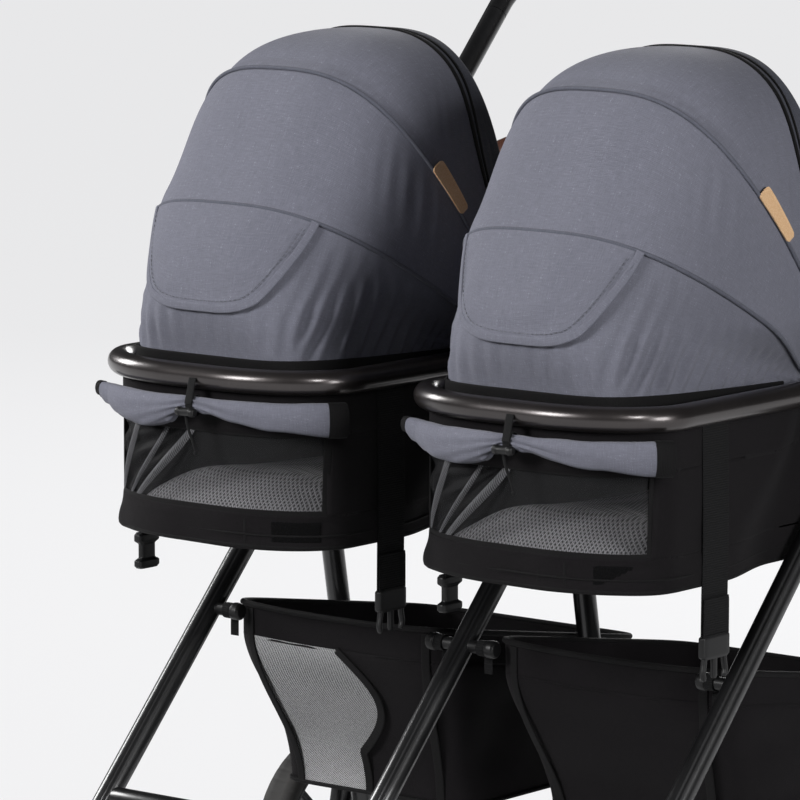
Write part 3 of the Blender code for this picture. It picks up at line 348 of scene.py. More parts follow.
def tube_between(name, start, end, radius, sides=32, outline=None, soft=0.001):
    """A straight round bar with eased ends: a circle carried along a line, smaller at its two tips."""
    start, end = np.asarray(start, dtype=float), np.asarray(end, dtype=float)
    long = np.linalg.norm(end - start)
    share = np.array([0.0, 0.3, 1.0]) * soft / long
    where = np.concatenate([share, np.linspace(0, 1, 9)[1:-1], 1 - share[::-1]])
    size = np.concatenate([[1 - soft / radius, 1 - 0.3 * soft / radius, 1.0], np.ones(7),
                           [1.0, 1 - 0.3 * soft / radius, 1 - soft / radius]])
    path = start + where[:, None] * (end - start)
    hint = np.array([1.0, 0, 0]) if abs(unit(end - start)[0]) < 0.9 else np.array([0, 0, 1.0])
    outline = ring(radius, sides) if outline is None else outline
    return surface(name, carried(path, outline, hint, scale=size), tube=True, caps=True, sharp=50)


print("shape tools ready")

# %% [markdown]
# ## One finish, many pieces
#
# A shader is a sum: fibres plus specks, grain times wear. Wiring that by hand hides the
# sum in a net of nodes. So a small class wraps an output socket and gives it the signs
# + − ×, and an expression in Python adds the Math nodes itself. A second class holds one
# material and makes any other node from its type, its settings and what goes in.

# %% Sockets as numbers
class Value:
    """An output of a shader node that can stand in a Python expression."""

    def __init__(self, finish, socket):
        self.finish = finish
        self.socket = socket

    def maths(self, operation, *terms):
        return self.finish.node("Math", {"operation": operation}, dict(enumerate(terms)))

    def __add__(self, other):
        return self.maths("ADD", self, other)

    def __radd__(self, other):
        return self.maths("ADD", other, self)

    def __sub__(self, other):
        return self.maths("SUBTRACT", self, other)

    def __rsub__(self, other):
        return self.maths("SUBTRACT", other, self)

    def __mul__(self, other):
        return self.maths("MULTIPLY", self, other)

    def sine(self):
        return self.maths("SINE", self)

    def size(self):
        return self.maths("ABSOLUTE", self)

    def most(self, other):
        return self.maths("MAXIMUM", self, other)

    def step(self, low, high, first=0.0, last=1.0):
        """A smooth change from first to last as this goes from low to high."""
        settings = {"interpolation_type": "SMOOTHSTEP", "clamp": True}
        terms = {"Value": self, "From Min": low, "From Max": high, "To Min": first, "To Max": last}
        return self.finish.node("MapRange", settings, terms)


class Finish:
    """One material: a Principled shader and the nodes that feed it."""

    def __init__(self, name, roughness=0.5, metallic=0.0, **constants):
        self.material = bpy.data.materials.new(name)
        self.material.use_nodes = True
        self.tree = self.material.node_tree
        self.shader = self.tree.nodes["Principled BSDF"]
        self.feed("Roughness", roughness)
        self.feed("Metallic", metallic)
        for socket, value in constants.items():
            self.feed(socket.replace("_", " "), value)

    def feed(self, socket, value):
        """Puts a value or a link into one of the shader's sockets."""
        self.join(self.shader.inputs[socket], value)

    def join(self, socket, value):
        if isinstance(value, Value):
            self.tree.links.new(value.socket, socket)
        else:
            socket.default_value = value

    def node(self, kind, settings=None, terms=None, output=0):
        """Any node: its type, its settings, set first, and the values or links of its sockets."""
        made = self.tree.nodes.new("ShaderNode" + kind)
        for setting, value in (settings or {}).items():
            setattr(made, setting, value)
        for socket, value in (terms or {}).items():
            self.join(made.inputs[socket], value)
        return Value(self, made.outputs[output])

    def place(self):
        """Where a point is on the stroller, in metres."""
        return self.node("TexCoord", output="Object")

    def cloth(self):
        """Where a point is on its own cloth, in metres."""
        return self.node("UVMap", {"uv_map": "cloth"})

    def stretched(self, vector, x, y, z=1.0):
        """A vector with each part multiplied, so that a pattern gets longer one way."""
        return self.node("VectorMath", {"operation": "MULTIPLY"}, {0: vector, 1: (x, y, z)})

    def parts(self, vector):
        """The two or three numbers of a vector."""
        made = self.tree.nodes.new("ShaderNodeSeparateXYZ")
        self.join(made.inputs[0], vector)
        return [Value(self, output) for output in made.outputs]

    def noise(self, vector, scale, detail=2.0, rough=0.5):
        """Cloudy values around a half, scale cells to the metre."""
        terms = {"Vector": vector, "Scale": scale, "Detail": detail, "Roughness": rough}
        return self.node("TexNoise", None, terms)

    def cells(self, vector, scale):
        """Distances to scattered points, scale of them to the metre."""
        return self.node("TexVoronoi", {"feature": "F1"}, {"Vector": vector, "Scale": scale})

    def mixed(self, share, first, second):
        """A colour between two others."""
        return self.node("Mix", {"data_type": "RGBA"}, {0: share, 6: first, 7: second}, output=2)

    def bump(self, height, depth, before=None):
        """A height in parts of depth, in metres, that tilts the normal."""
        terms = {"Height": height, "Distance": depth, "Strength": 1.0}
        if before is not None:
            terms["Normal"] = before
        return self.node("Bump", None, terms)


def paint(red, green, blue):
    """A screen colour from 0 to 255 as the linear one that a shader takes."""
    shown = np.array([red, green, blue]) / 255
    linear = np.where(shown <= 0.04045, shown / 12.92, ((shown + 0.055) / 1.055) ** 2.4)
    return (*linear.tolist(), 1.0)


print("a mid grey of 128 is", round(paint(128, 128, 128)[0], 3), "in light")

# %% [markdown]
# ## Painted and anodised tube
#
# The hoops are thick tubes with a dark, glossy, slightly metallic lacquer. What tells
# gloss from plastic is the long soft highlight and the tiny unevenness in it, so the
# lacquer is a clear coat over a dark metal, with a fine ripple and some handling marks.

# %% Tube finishes
def lacquer(name, dark, light, roughness, coat, metallic, coat_roughness=0.10):
    """Dark metal under a clear coat: cloudy colour, fine ripple and faint scuffs."""
    made = Finish(name, Coat_Roughness=coat_roughness, Coat_IOR=1.5)
    where = made.place()
    cloud = made.noise(where, 14.0, 4.0)
    scuffs = made.noise(made.stretched(where, 1.0, 1.0, 0.25), 420.0, 3.0).step(0.64, 0.76)
    dust = made.noise(where, 90.0, 5.0, 0.65).step(0.52, 0.80)
    made.feed("Base Color", made.mixed(cloud * 0.6 + dust * 0.25, dark, light))
    made.feed("Metallic", metallic - scuffs * 0.2)
    made.feed("Roughness", roughness + scuffs * 0.06 + dust * 0.05 + (cloud - 0.5) * 0.08)
    made.feed("Coat Weight", coat - dust * 0.15)
    made.feed("Normal", made.bump(made.noise(where, 420.0, 2.0), 0.000008))
    return made.material


gunmetal = lacquer("gunmetal lacquer", paint(52, 48, 48), paint(76, 71, 70), 0.29, 0.40, 0.70, 0.19)
black_tube = lacquer("black tube", paint(20, 20, 21), paint(38, 38, 40), 0.34, 0.4, 0.4, 0.15)
steel = lacquer("drawn steel", paint(150, 150, 152), paint(178, 178, 180), 0.30, 0.1, 1.0)


def moulded(name, dark, light, roughness, grain=1400.0, depth=0.00005):
    """Moulded plastic: a fine spark-eroded grain, cloudy gloss, and rubbed light spots."""
    made = Finish(name, IOR=1.34)
    where = made.place()
    cloud = made.noise(where, 22.0, 4.0)
    rubbed = made.noise(where, 130.0, 4.0, 0.7).step(0.58, 0.78)
    made.feed("Base Color", made.mixed(cloud * 0.5 + rubbed * 0.4, dark, light))
    made.feed("Roughness", roughness + (cloud - 0.5) * 0.14 - rubbed * 0.08)
    made.feed("Normal", made.bump(made.noise(where, grain, 3.0), depth))
    return made.material


black_plastic = moulded("black moulded plastic", paint(15, 15, 16), paint(32, 32, 33), 0.42)
rim_plastic = moulded("rim plastic", paint(40, 40, 42), paint(62, 62, 64), 0.38)
print("hard finishes:", gunmetal.name, black_tube.name, steel.name, black_plastic.name, rim_plastic.name)

# %% [markdown]
# ## Woven cloth
#
# The canopies are a blue-grey melange: dark and pale fibres are spun together, so each
# yarn changes tone along its length, and pale specks stand out. Two noises, each drawn
# out along one direction of the cloth, give the two sets of yarns. The same builder with
# other numbers gives the plain black cloth of the tubs.

# %% Woven finishes
def woven(name, dark, light, fleck, yarn=0.0011, melange=0.5, specks=0.5, sheen=0.10, gloss=1.35):
    """Two sets of yarns: each noise is long one way, and a checker lifts them in turn."""
    made = Finish(name, Sheen_Weight=sheen, Sheen_Roughness=0.45, IOR=gloss)
    cloth = made.cloth()
    u, v = made.parts(cloth)[:2]
    warp = made.noise(made.stretched(cloth, 0.9 / yarn, 0.12 / yarn), 1.0, 2.0)
    weft = made.noise(made.stretched(cloth, 0.12 / yarn, 0.9 / yarn), 1.0, 2.0)
    over = (u * (np.pi / yarn)).sine() * (v * (np.pi / yarn)).sine()
    share = over.step(-0.25, 0.25)
    fibre = warp * share + weft * (1.0 - share)
    slow = made.noise(made.place(), 9.0, 4.0)
    tone = (fibre - 0.5) * (2.2 * melange) + 0.5 + (slow - 0.5) * 0.35
    body = made.mixed(tone.step(0.1, 0.9), dark, light)
    bright = fibre.step(0.60, 0.72) * made.noise(cloth, 0.35 / yarn, 1.0).step(0.48, 0.62) * specks
    made.feed("Base Color", made.mixed(bright, body, fleck))
    made.feed("Roughness", 0.82 + (slow - 0.5) * 0.15)
    yarns = (u * (np.pi / yarn)).sine().size() * (1.0 - share) + (v * (np.pi / yarn)).sine().size() * share
    made.feed("Normal", made.bump(yarns + fibre * 0.6, 0.00018))
    return made.material


melange = woven("blue grey melange", paint(106, 107, 119), paint(124, 125, 138), paint(164, 166, 176),
                specks=0.45, sheen=0.12)
melange_dark = woven("visor melange", paint(62, 63, 72), paint(82, 84, 94), paint(120, 122, 130))
# The piping is the canopy's melange painted darker. Its darker colour is painted seam shade, standing in for
# the dark line that falls beside each seam.
piping_shaded_melange = woven("piping melange painted darker", paint(82, 84, 95), paint(104, 106, 118), paint(140, 142, 150),
                     melange=0.4)
oxford = woven("black oxford cloth", paint(11, 10, 11), paint(25, 22, 25), paint(40, 37, 41),
               yarn=0.0008, specks=0.2, sheen=0.02, gloss=1.22)


def ribbed(name, dark, light, pitch=0.0022, depth=0.0003):
    """Woven tape: ribs across it, each with a rounded top, and a finer twill over them."""
    made = Finish(name, Sheen_Weight=0.02, Sheen_Roughness=0.5, IOR=1.20)
    cloth = made.cloth()
    u, v = made.parts(cloth)[:2]
    rib = (v * (np.pi / pitch)).sine().size()
    twill = ((u + v) * (2 * np.pi / (0.6 * pitch))).sine() * 0.5 + 0.5
    fuzz = made.noise(made.place(), 900.0, 3.0)
    made.feed("Base Color", made.mixed(rib * 0.5 + fuzz * 0.3 + twill * 0.2, dark, light))
    made.feed("Roughness", 0.72 + (fuzz - 0.5) * 0.2)
    made.feed("Normal", made.bump(rib + twill * 0.3 + fuzz * 0.2, depth))
    return made.material


webbing = ribbed("black webbing", paint(9, 9, 10), paint(26, 26, 27))
binding = ribbed("black binding tape", paint(9, 9, 10), paint(25, 24, 25), pitch=0.0014, depth=0.0002)
elastic = ribbed("elastic cord", paint(12, 12, 13), paint(32, 32, 33), pitch=0.0010, depth=0.0002)
print("cloth finishes:", melange.name, melange_dark.name, piping_shaded_melange.name, oxford.name, webbing.name)

# %% [markdown]
# ## Meshes that let light through
#
# The windows and the baskets are knitted meshes. Their holes are smaller than a pixel
# from where the camera stands, yet they must fade the things behind them in the right
# amount. Alpha on the cloth's own UV does both: close by there is a real lattice, and
# from far away the samples average to a veil. The mattress has the same kind of knit with
# larger diamonds, but it is remeshed cloth without a UV, so its diamonds are drawn in space.

# %% Mesh finishes
def net(name, thread, pale, pitch, open_share, sheen=0.1):
    """A lattice of two sets of slanting threads: a hole is where both sines are near nothing."""
    made = Finish(name, Sheen_Weight=sheen, Sheen_Roughness=0.5)
    cloth = made.cloth()
    u, v = made.parts(cloth)[:2]
    one = ((u + v) * (np.pi / pitch)).sine().size()
    two = ((u - v) * (np.pi / pitch)).sine().size()
    threads = one.most(two)
    fuzz = made.noise(made.place(), 300.0, 3.0)
    made.feed("Base Color", made.mixed(fuzz, thread, pale))
    made.feed("Roughness", 0.65 + (fuzz - 0.5) * 0.2)
    made.feed("Alpha", threads.step(open_share - 0.08, open_share + 0.08))
    made.feed("Normal", made.bump(threads, 0.0002))
    return made.material


window_mesh = net("window mesh", paint(34, 34, 36), paint(66, 66, 69), 0.0024, 0.975, 0.02)
# The pleats are the window's black mesh folded double. It is knitted closer, so less shows through, and its
# threads are painted paler than the window's as a painted sheen on the folds.
pleat_mesh_painted_pale = net("gathered mesh painted paler", paint(70, 70, 74), paint(122, 122, 126), 0.0026, 0.86, 0.02)
basket_mesh = net("basket mesh", paint(206, 206, 208), paint(232, 232, 234), 0.0021, 0.90)


def diamond_knit(name, thread, pale, deep, pitch=0.0046):
    """A spacer knit: diamonds from two slanting waves in space, with their holes painted dark as painted
    shade.
    """
    made = Finish(name, Sheen_Weight=0.2, Sheen_Roughness=0.5)
    x, y, z = made.parts(made.place())
    one = ((x + y * 0.45 + z) * (np.pi / pitch)).sine().size()
    two = ((x + y * 0.45 - z) * (np.pi / pitch)).sine().size()
    wall = one.most(two).step(0.55, 0.95)
    fuzz = made.noise(made.place(), 700.0, 3.0)
    soft = made.mixed(fuzz, thread, pale)
    # deep is painted shade: the knit's holes are painted dark where shade falls between the threads.
    made.feed("Base Color", made.mixed(wall, deep, soft))
    made.feed("Roughness", 0.8 + (fuzz - 0.5) * 0.2)
    made.feed("Normal", made.bump(wall + fuzz * 0.2, 0.0008))
    return made.material


# The third colour is the painted shade in the knit's holes.
mattress_knit = diamond_knit("mattress knit", paint(128, 127, 131), paint(160, 159, 163),
                             paint(30, 30, 32))
print("mesh finishes:", window_mesh.name, basket_mesh.name, mattress_knit.name)

# %% [markdown]
# ## Leather, rubber and small things
#
# Leather is a skin of small cells with creases between them, darker in the creases and
# polished where hands rub. Cells come from a Voronoi pattern and the polish from a slow
# noise. Rubber is dull, a little brown, and dusty in its tread.

# %% Leather and rubber
def hide(name, dark, light, rubbed, grain=520.0):
    """Grained leather: cell distances make pebbles, fine noise the pores, and slow noise the wear."""
    made = Finish(name, IOR=1.45)
    where = made.place()
    pebble = made.cells(where, grain).step(0.0, 0.75)
    pores = made.noise(where, grain * 3.2, 2.0)
    slow = made.noise(where, 16.0, 4.0)
    worn = slow.step(0.50, 0.74)
    tone = made.mixed((1.0 - pebble) * 0.6 + (slow - 0.3) * 0.5, dark, light)
    made.feed("Base Color", made.mixed(worn * 0.35, tone, rubbed))
    made.feed("Roughness", 0.46 + pebble * 0.14 - worn * 0.10)
    made.feed("Normal", made.bump((1.0 - pebble) + pores * 0.25, 0.00022))
    return made.material


brown_leather = hide("brown leather", paint(58, 28, 17), paint(92, 50, 31), paint(124, 74, 48))
tan_leather = hide("tan leather", paint(226, 182, 136), paint(244, 208, 166), paint(250, 224, 190),
                   grain=700.0)


def rubber(name, dark, light):
    """Tyre rubber: dull and fine, with pale dust that gathers in slow patches."""
    made = Finish(name, IOR=1.5)
    where = made.place()
    dust = made.noise(where, 26.0, 5.0, 0.65).step(0.42, 0.78)
    fine = made.noise(where, 1100.0, 3.0)
    made.feed("Base Color", made.mixed(dust * 0.5 + fine * 0.2, dark, light))
    made.feed("Roughness", 0.72 + dust * 0.16)
    made.feed("Normal", made.bump(fine + dust * 0.3, 0.00008))
    return made.material


tyre_rubber = rubber("tyre rubber", paint(28, 27, 27), paint(70, 67, 64))
thread = Finish("sewing thread", roughness=0.6, Sheen_Weight=0.2)
twist = (thread.parts(thread.place())[2] * 5200.0).sine() * 0.5 + 0.5
thread.feed("Base Color", thread.mixed(twist, paint(54, 55, 62), paint(104, 106, 116)))
pale_thread = Finish("pale thread", roughness=0.6, Sheen_Weight=0.2)
twist = (pale_thread.parts(pale_thread.place())[0] * 5200.0).sine() * 0.5 + 0.5
pale_thread.feed("Base Color", pale_thread.mixed(twist, paint(120, 84, 60), paint(160, 122, 92)))
hook = Finish("hook and loop", roughness=0.85, Sheen_Weight=0.02, IOR=1.15)
nap = hook.cells(hook.place(), 900.0).step(0.0, 0.6)
hook.feed("Base Color", hook.mixed(nap, paint(20, 19, 21), paint(8, 8, 9)))
hook.feed("Normal", hook.bump(1.0 - nap, 0.0006))
print("small finishes:", brown_leather.name, tan_leather.name, tyre_rubber.name)

# %% [markdown]
# ## Dressing the frame
#
# Each new piece needs three things: its material, the body that it moves with, and the CAD solids that it
# stands for. One function gives them all. Where a solid's shape is already right, such as a fold hub with its
# forks and saddles, a copy of it is merged, its flat facets are joined and its edges are rounded, because a
# real moulding never has a knife edge and a thin bright line there is most of what makes it look real.

# %% Dress, refine and measure
def dress(piece, look, body, replaces=()):
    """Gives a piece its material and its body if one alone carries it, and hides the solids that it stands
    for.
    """
    piece.data.materials.clear()
    piece.data.materials.append(look)
    if body:
        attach(piece, body)
    if replaces:
        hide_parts(*([replaces] if isinstance(replaces, str) else replaces))
    return piece


def refined(node, look, body, width=0.0008, rounds=2):
    """A merged copy of a CAD solid with its coplanar facets joined and its edges rounded."""
    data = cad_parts[node].data.copy()
    data.materials.clear()
    for layer in list(data.uv_layers):
        data.uv_layers.remove(layer)
    mesh = bmesh.new()
    mesh.from_mesh(data)
    bmesh.ops.remove_doubles(mesh, verts=mesh.verts, dist=1e-5)
    bmesh.ops.dissolve_limit(mesh, angle_limit=math.radians(1.0), verts=mesh.verts, edges=mesh.edges)
    mesh.to_mesh(data)
    mesh.free()
    data.shade_smooth()
    data.set_sharp_from_angle(angle=math.radians(32))
    made = bpy.data.objects.new(node + "_finished", data)
    bpy.context.scene.collection.objects.link(made)
    edge = made.modifiers.new("rounded edges", "BEVEL")
    edge.width = width
    edge.segments = rounds
    edge.limit_method = "ANGLE"
    edge.angle_limit = math.radians(32)
    edge.harden_normals = False
    return dress(made, look, body, node)


def thicken(piece, thick, offset=-1.0):
    """Gives a sheet its thickness, inwards from its outer face."""
    wall = piece.modifiers.new("cloth thickness", "SOLIDIFY")
    wall.thickness = thick
    wall.offset = offset
    return piece


def cut_size(grid):
    """Longest row, longest column and area of a cloth's grid, in metres."""
    across = np.linalg.norm(np.diff(grid, axis=1), axis=2).sum(axis=1).max()
    along = np.linalg.norm(np.diff(grid, axis=0), axis=2).sum(axis=0).max()
    a, b = grid[1:, 1:] - grid[:-1, :-1], grid[1:, :-1] - grid[:-1, 1:]
    area = np.linalg.norm(np.cross(a, b), axis=2).sum() / 2
    return float(across), float(along), float(area)


def declare_cloth(piece, grid):
    """Prints the size that this cloth was cut to, measured on its own surface."""
    across, along, area = cut_size(grid)
    print(f"{piece.name}: {1000 * across:.0f} by {1000 * along:.0f} mm, {area:.4f} square metres")


print("dressing tools ready")

# %% [markdown]
# ## Seat hoops
#
# Each seat hangs in one closed loop of thick tube: two straight sides and two rounded
# ends whose corners are quarter ellipses. The centreline is worked out once, cut into
# even steps, and a circle is carried along it. Joining the last ring to the first leaves
# no seam, which a bent cylinder would show in its gloss.

# %% Hoops
def quarter(centre_x, centre_y, reach_x, reach_y, first, last, steps=60):
    """Points of an ellipse between two angles in degrees."""
    angle = np.radians(np.linspace(first, last, steps))
    return np.stack([centre_x + reach_x * np.cos(angle), centre_y + reach_y * np.sin(angle)], axis=1)


def hoop_line():
    """The hoop's centreline: four quarter ellipses and the straights between."""
    side, foot = HOOP_HALF - CORNER_X, HOOP_LENGTH - CORNER_Y
    return np.concatenate([quarter(-side, CORNER_Y, CORNER_X, CORNER_Y, 180, 270),
                           quarter(side, CORNER_Y, CORNER_X, CORNER_Y, 270, 360),
                           quarter(side, foot, CORNER_X, CORNER_Y, 0, 90),
                           quarter(-side, foot, CORNER_X, CORNER_Y, 90, 180)])


for tag, seat in SEATS.items():
    line = evenly(hoop_line(), 240, loop=True)
    path = at(seat + line[:, 0], line[:, 1], 0.0)
    hoop = closed_strand(f"hoop_tube_{tag}", path, ring(HOOP_R, 40), (0, 0, 1))
    dress(hoop, gunmetal, f"seat_{tag}", f"hoop_{tag}")
print(f"hoop length round: {np.linalg.norm(np.diff(path, axis=0), axis=1).sum():.3f} m")

# %% [markdown]
# ## The canopy's surface
#
# A canopy is stretched over three bows that fan out from one cross axis. In each plane
# through that axis the cloth is a superellipse: an ellipse whose corners are fuller,
# because a bow has nearly straight sides and a nearly straight top. Its half width, its
# reach and its fullness change smoothly with the plane's angle. All later pieces on the
# canopy (piping, flap, tabs, zip) are laid on this same function, so they fit exactly.

# %% The canopy function
CANOPY_Y = 0.310
CANOPY_KNOTS = np.radians([0.0, 14.0, 35.0, 60.0, 90.0])
CANOPY_HALF = HOOP_HALF * np.array([0.868, 0.982, 1.117, 1.139, 1.039])
CANOPY_REACH = 0.3145 * np.array([0.922, 0.994, 1.0, 1.072, 0.992])
CANOPY_POWER = np.array([6.0, 3.4, 3.1, 2.9, 2.9])
CANOPY_ROOT = 0.020
FLARE_HEIGHT = 0.075
SEAM_REAR, SEAM_FRONT, WIRE, VISOR = np.radians([30.8, 57.0, 72.0, 86.0])


def canopy(phi, t):
    """(offset, y, z): out = reach·sin(t)^(2/n) at angle phi, and half·cos(t)^(2/n) to the side."""
    phi, t = np.broadcast_arrays(phi, t)
    power = 2 / through(CANOPY_KNOTS, CANOPY_POWER, phi)
    out = through(CANOPY_KNOTS, CANOPY_REACH, phi) * np.sin(t) ** power
    base = CANOPY_HALF[0]
    flare = ease(out * np.sin(phi) / FLARE_HEIGHT)
    half = base + (through(CANOPY_KNOTS, CANOPY_HALF, phi) - base) * flare
    across = np.sign(np.cos(t)) * np.abs(np.cos(t)) ** power * half
    return np.stack([across, CANOPY_Y - out * np.cos(phi), out * np.sin(phi)], axis=-1)


def canopy_out(phi, t, step=1e-3):
    """The outward direction: the cross product of two short steps on the surface."""
    phi, t = np.broadcast_arrays(phi, t)
    after, before = (np.clip(t + way * step, 0.01, np.pi - 0.01) for way in (1, -1))
    one = canopy(phi + step, t) - canopy(phi - step, t)
    two = canopy(phi, after) - canopy(phi, before)
    away = unit(np.cross(one, two))
    middle = np.array([0.0, CANOPY_Y, 0.05])
    return away * np.sign(np.sum(away * (canopy(phi, t) - middle), axis=-1, keepdims=True))


def canopy_steps(phi, count):
    """Values of t at even steps across the canopy, from one side's root to the other's."""
    reach = through(CANOPY_KNOTS, CANOPY_REACH, np.array(phi))
    power = 2 / through(CANOPY_KNOTS, CANOPY_POWER, np.array(phi))
    edge = math.asin((CANOPY_ROOT / reach) ** (1 / power))
    fine = np.linspace(edge, np.pi - edge, 3000)
    points = canopy(phi, fine)
    run = np.concatenate([[0.0], np.cumsum(np.linalg.norm(np.diff(points, axis=0), axis=1))])
    return np.interp(np.linspace(0, run[-1], count), run, fine)


def on_canopy(seat, phi, t, lift=0.0):
    """Points of a seat's canopy in the frame, lifted off the cloth along its outward direction."""
    local = canopy(phi, t) + canopy_out(phi, t) * np.asarray(lift)[..., None]
    return place_local(seat, local)


top = canopy(VISOR, np.pi / 2)
print("canopy's front edge is", round(float(top[2]), 3), "m above the hoop")

# %% [markdown]
# ## Folds in stretched cloth
#
# Cloth between two bows isn't a perfect surface. It dips a little where nothing holds
# it, it is gathered along its hem, and it pulls into slanting folds at its sides. These
# are heights of a few millimetres, added along the outward direction: a sine for the dip,
# short waves that fade away from the hem for the gathers, and slanting waves that only
# show low on the sides for the pulls.

# %% Folds
GATHER, PULL, CREASE, SLOW_WAVE = 0.0028, 0.0030, 0.0008, 0.0012
GATHER_WAVES, PULL_WAVES, CREASE_WAVES = 54, 74, 60
ROUND = 1.5


def bell(value, middle, wide):
    """1 at the middle, falling off on both sides as e to the −(distance / width)²."""
    return np.exp(-((value - middle) / wide) ** 2)


def canopy_folds(phi, t, first, last, dip, seed):
    """Heights of the folds between two bows: dip, hem gathers, side pulls and slow waves."""
    share = (phi - first) / (last - first)
    points = canopy(phi, t)
    held = np.sin(np.pi * np.clip(share, 0, 1))
    high = np.degrees(phi)
    run = ROUND * np.arctan2(points[..., 0], 0.8 * (CANOPY_Y - points[..., 1]))
    to_side = np.abs(np.cos(t))
    loose = 0.35 + 0.65 * ease((high - 3) / 5)

    strength = 0.55 + 0.45 * ripples(points, 0.07, seed + 3)
    wander = 1.6 * ripples(points, 0.10, seed)
    wave = np.sin(run * GATHER_WAVES - high * 0.12 + wander)
    gathers = GATHER * loose * strength * bell(high, 5, 7) * wave

    slant = np.abs(run) * PULL_WAVES - high * 0.66 + 1.2 * ripples(points, 0.12, seed + 1)
    pulls = PULL * loose * ease((to_side - 0.42) / 0.3) * bell(high, 9, 11) * np.sin(slant)

    slant = np.abs(run) * CREASE_WAVES - high * 0.22 + 1.5 * ripples(points, 0.10, seed + 4)
    creases = CREASE * ease((to_side - 0.50) / 0.3) * bell(share, 0.75, 0.30) * np.sin(slant)

    slow = SLOW_WAVE * ripples(points, 0.13, seed + 2)
    return gathers + pulls + (creases + slow - dip) * held


CLOTH_COLUMNS = 230


def canopy_cloth(name, seat, first, last, dip, seed, rows=44):
    """A panel's grid between two angles, which may change across the panel."""
    t = canopy_steps(float(np.mean(last)), CLOTH_COLUMNS)
    low, high = np.broadcast_to(first, CLOTH_COLUMNS), np.broadcast_to(last, CLOTH_COLUMNS)
    phi = low + (high - low) * np.linspace(0, 1, rows)[:, None]
    grid = on_canopy(seat, phi, t[None, :], canopy_folds(phi, t[None, :], low, high, dip, seed))
    return grid, thicken(surface(name, grid, flip=True), 0.0014)


def zip_angle(t):
    """The visor's zip: low at the sides and close to the front edge over the top."""
    return np.radians(74.5 + 7.5 * ease((np.sin(t) - 0.35) / 0.55))


for number, (tag, seat) in enumerate(SEATS.items()):
    grid, rear = canopy_cloth(f"canopy_rear_cloth_{tag}", seat, np.radians(0.4), SEAM_REAR,
                              0.0014, 10 + number)
    dress(rear, melange, f"seat_{tag}", f"canopy_rear_{tag}")
    declare_cloth(rear, grid)
    grid, middle = canopy_cloth(f"canopy_mid_cloth_{tag}", seat, SEAM_REAR, SEAM_FRONT,
                                0.0024, 20 + number)
    dress(middle, melange, None, f"canopy_mid_{tag}")
    on_canopy(seat, SEAM_REAR, np.pi / 2)
    on_canopy(seat, SEAM_FRONT, np.pi / 2)
    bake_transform(middle)
    declare_cloth(middle, grid)
    t = canopy_steps(float(WIRE), CLOTH_COLUMNS)
    grid, front = canopy_cloth(f"canopy_front_cloth_{tag}", seat, SEAM_FRONT, zip_angle(t),
                               0.0016, 30 + number)
    dress(front, melange, None, f"canopy_front_{tag}")
    on_canopy(seat, SEAM_FRONT, np.pi / 2)
    on_canopy(seat, WIRE, np.pi / 2)
    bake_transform(front)
    declare_cloth(front, grid)
    grid, visor = canopy_cloth(f"visor_cloth_{tag}", seat, zip_angle(t), VISOR,
                               0.0, 40 + number, rows=18)
    dress(visor, melange_dark, f"canopy_front_{tag}", f"canopy_front_{tag}")
    declare_cloth(visor, grid)

# %% [markdown]
# ## Piping, hem and zip
#
# Every seam of the canopy carries a thin piping, its hem is bound in black tape, and a
# zip runs near the front edge. Each is an outline carried along a line on the canopy,
# with the cloth's own outward direction as its hint, so a flat tape lies flat on the
# curve all the way round instead of twisting.

# %% Trims that follow the canopy
def canopy_line(name, seat, phi, outline, lift, count=260):
    """An outline carried over the canopy along phi(t), lifted off the cloth and slim at its tips."""
    t = canopy_steps(float(np.mean(phi)), 600)
    where = np.linspace(0, 1, count)
    share = np.linspace(0, 1, len(t))
    angle = np.interp(where, share, np.broadcast_to(phi, t.shape))
    t = np.interp(where, share, t)
    path = on_canopy(seat, angle, t, np.full(count, lift))
    size = np.minimum(1.0, 0.55 + 12 * np.minimum(where, 1 - where))
    return strand(name, path, outline, canopy_out(angle, t), size)


# The seam piping's darker colour is painted seam shade.
TRIMS = [("seam_piping_rear", SEAM_REAR, ring(0.0021, 14), 0.0010, piping_shaded_melange, "seat"),
         ("seam_piping_front", SEAM_FRONT, ring(0.0021, 14), 0.0010, piping_shaded_melange, "canopy_mid"),
         ("hem_binding", np.radians(1.8), band(0.0205, 0.0022, 24), 0.0026, binding, "seat"),
         ("front_binding", VISOR, band(0.0130, 0.0042, 24, 0.7), -0.0006, melange_dark, "canopy_front"),
         ("zip_coil", np.radians(79.5), band(0.0046, 0.0022, 16), 0.0007, binding, "canopy_front"),
         ("zip_tape", np.radians(81.8), band(0.0030, 0.0018, 16), 0.0006, binding, "canopy_front")]

for tag, seat in SEATS.items():
    for name, phi, outline, lift, look, body in TRIMS:
        if name.startswith("zip"):
            beside = np.radians(2.2) if name == "zip_tape" else 0.0
            phi = zip_angle(canopy_steps(float(phi), 600)) + beside
        trim = canopy_line(f"{name}_{tag}", seat, phi, outline, lift)
        dress(trim, look, f"{body}_{tag}")
print("trims on each canopy:", len(TRIMS))

# %% [markdown]
# ## Stitches
#
# A row of stitches is hundreds of tiny spindles, so each one has only a few faces. The
# centres are spread evenly along a line and every spindle is built at once: four corners
# round, five rings long, thin at both ends where the thread goes into the cloth.

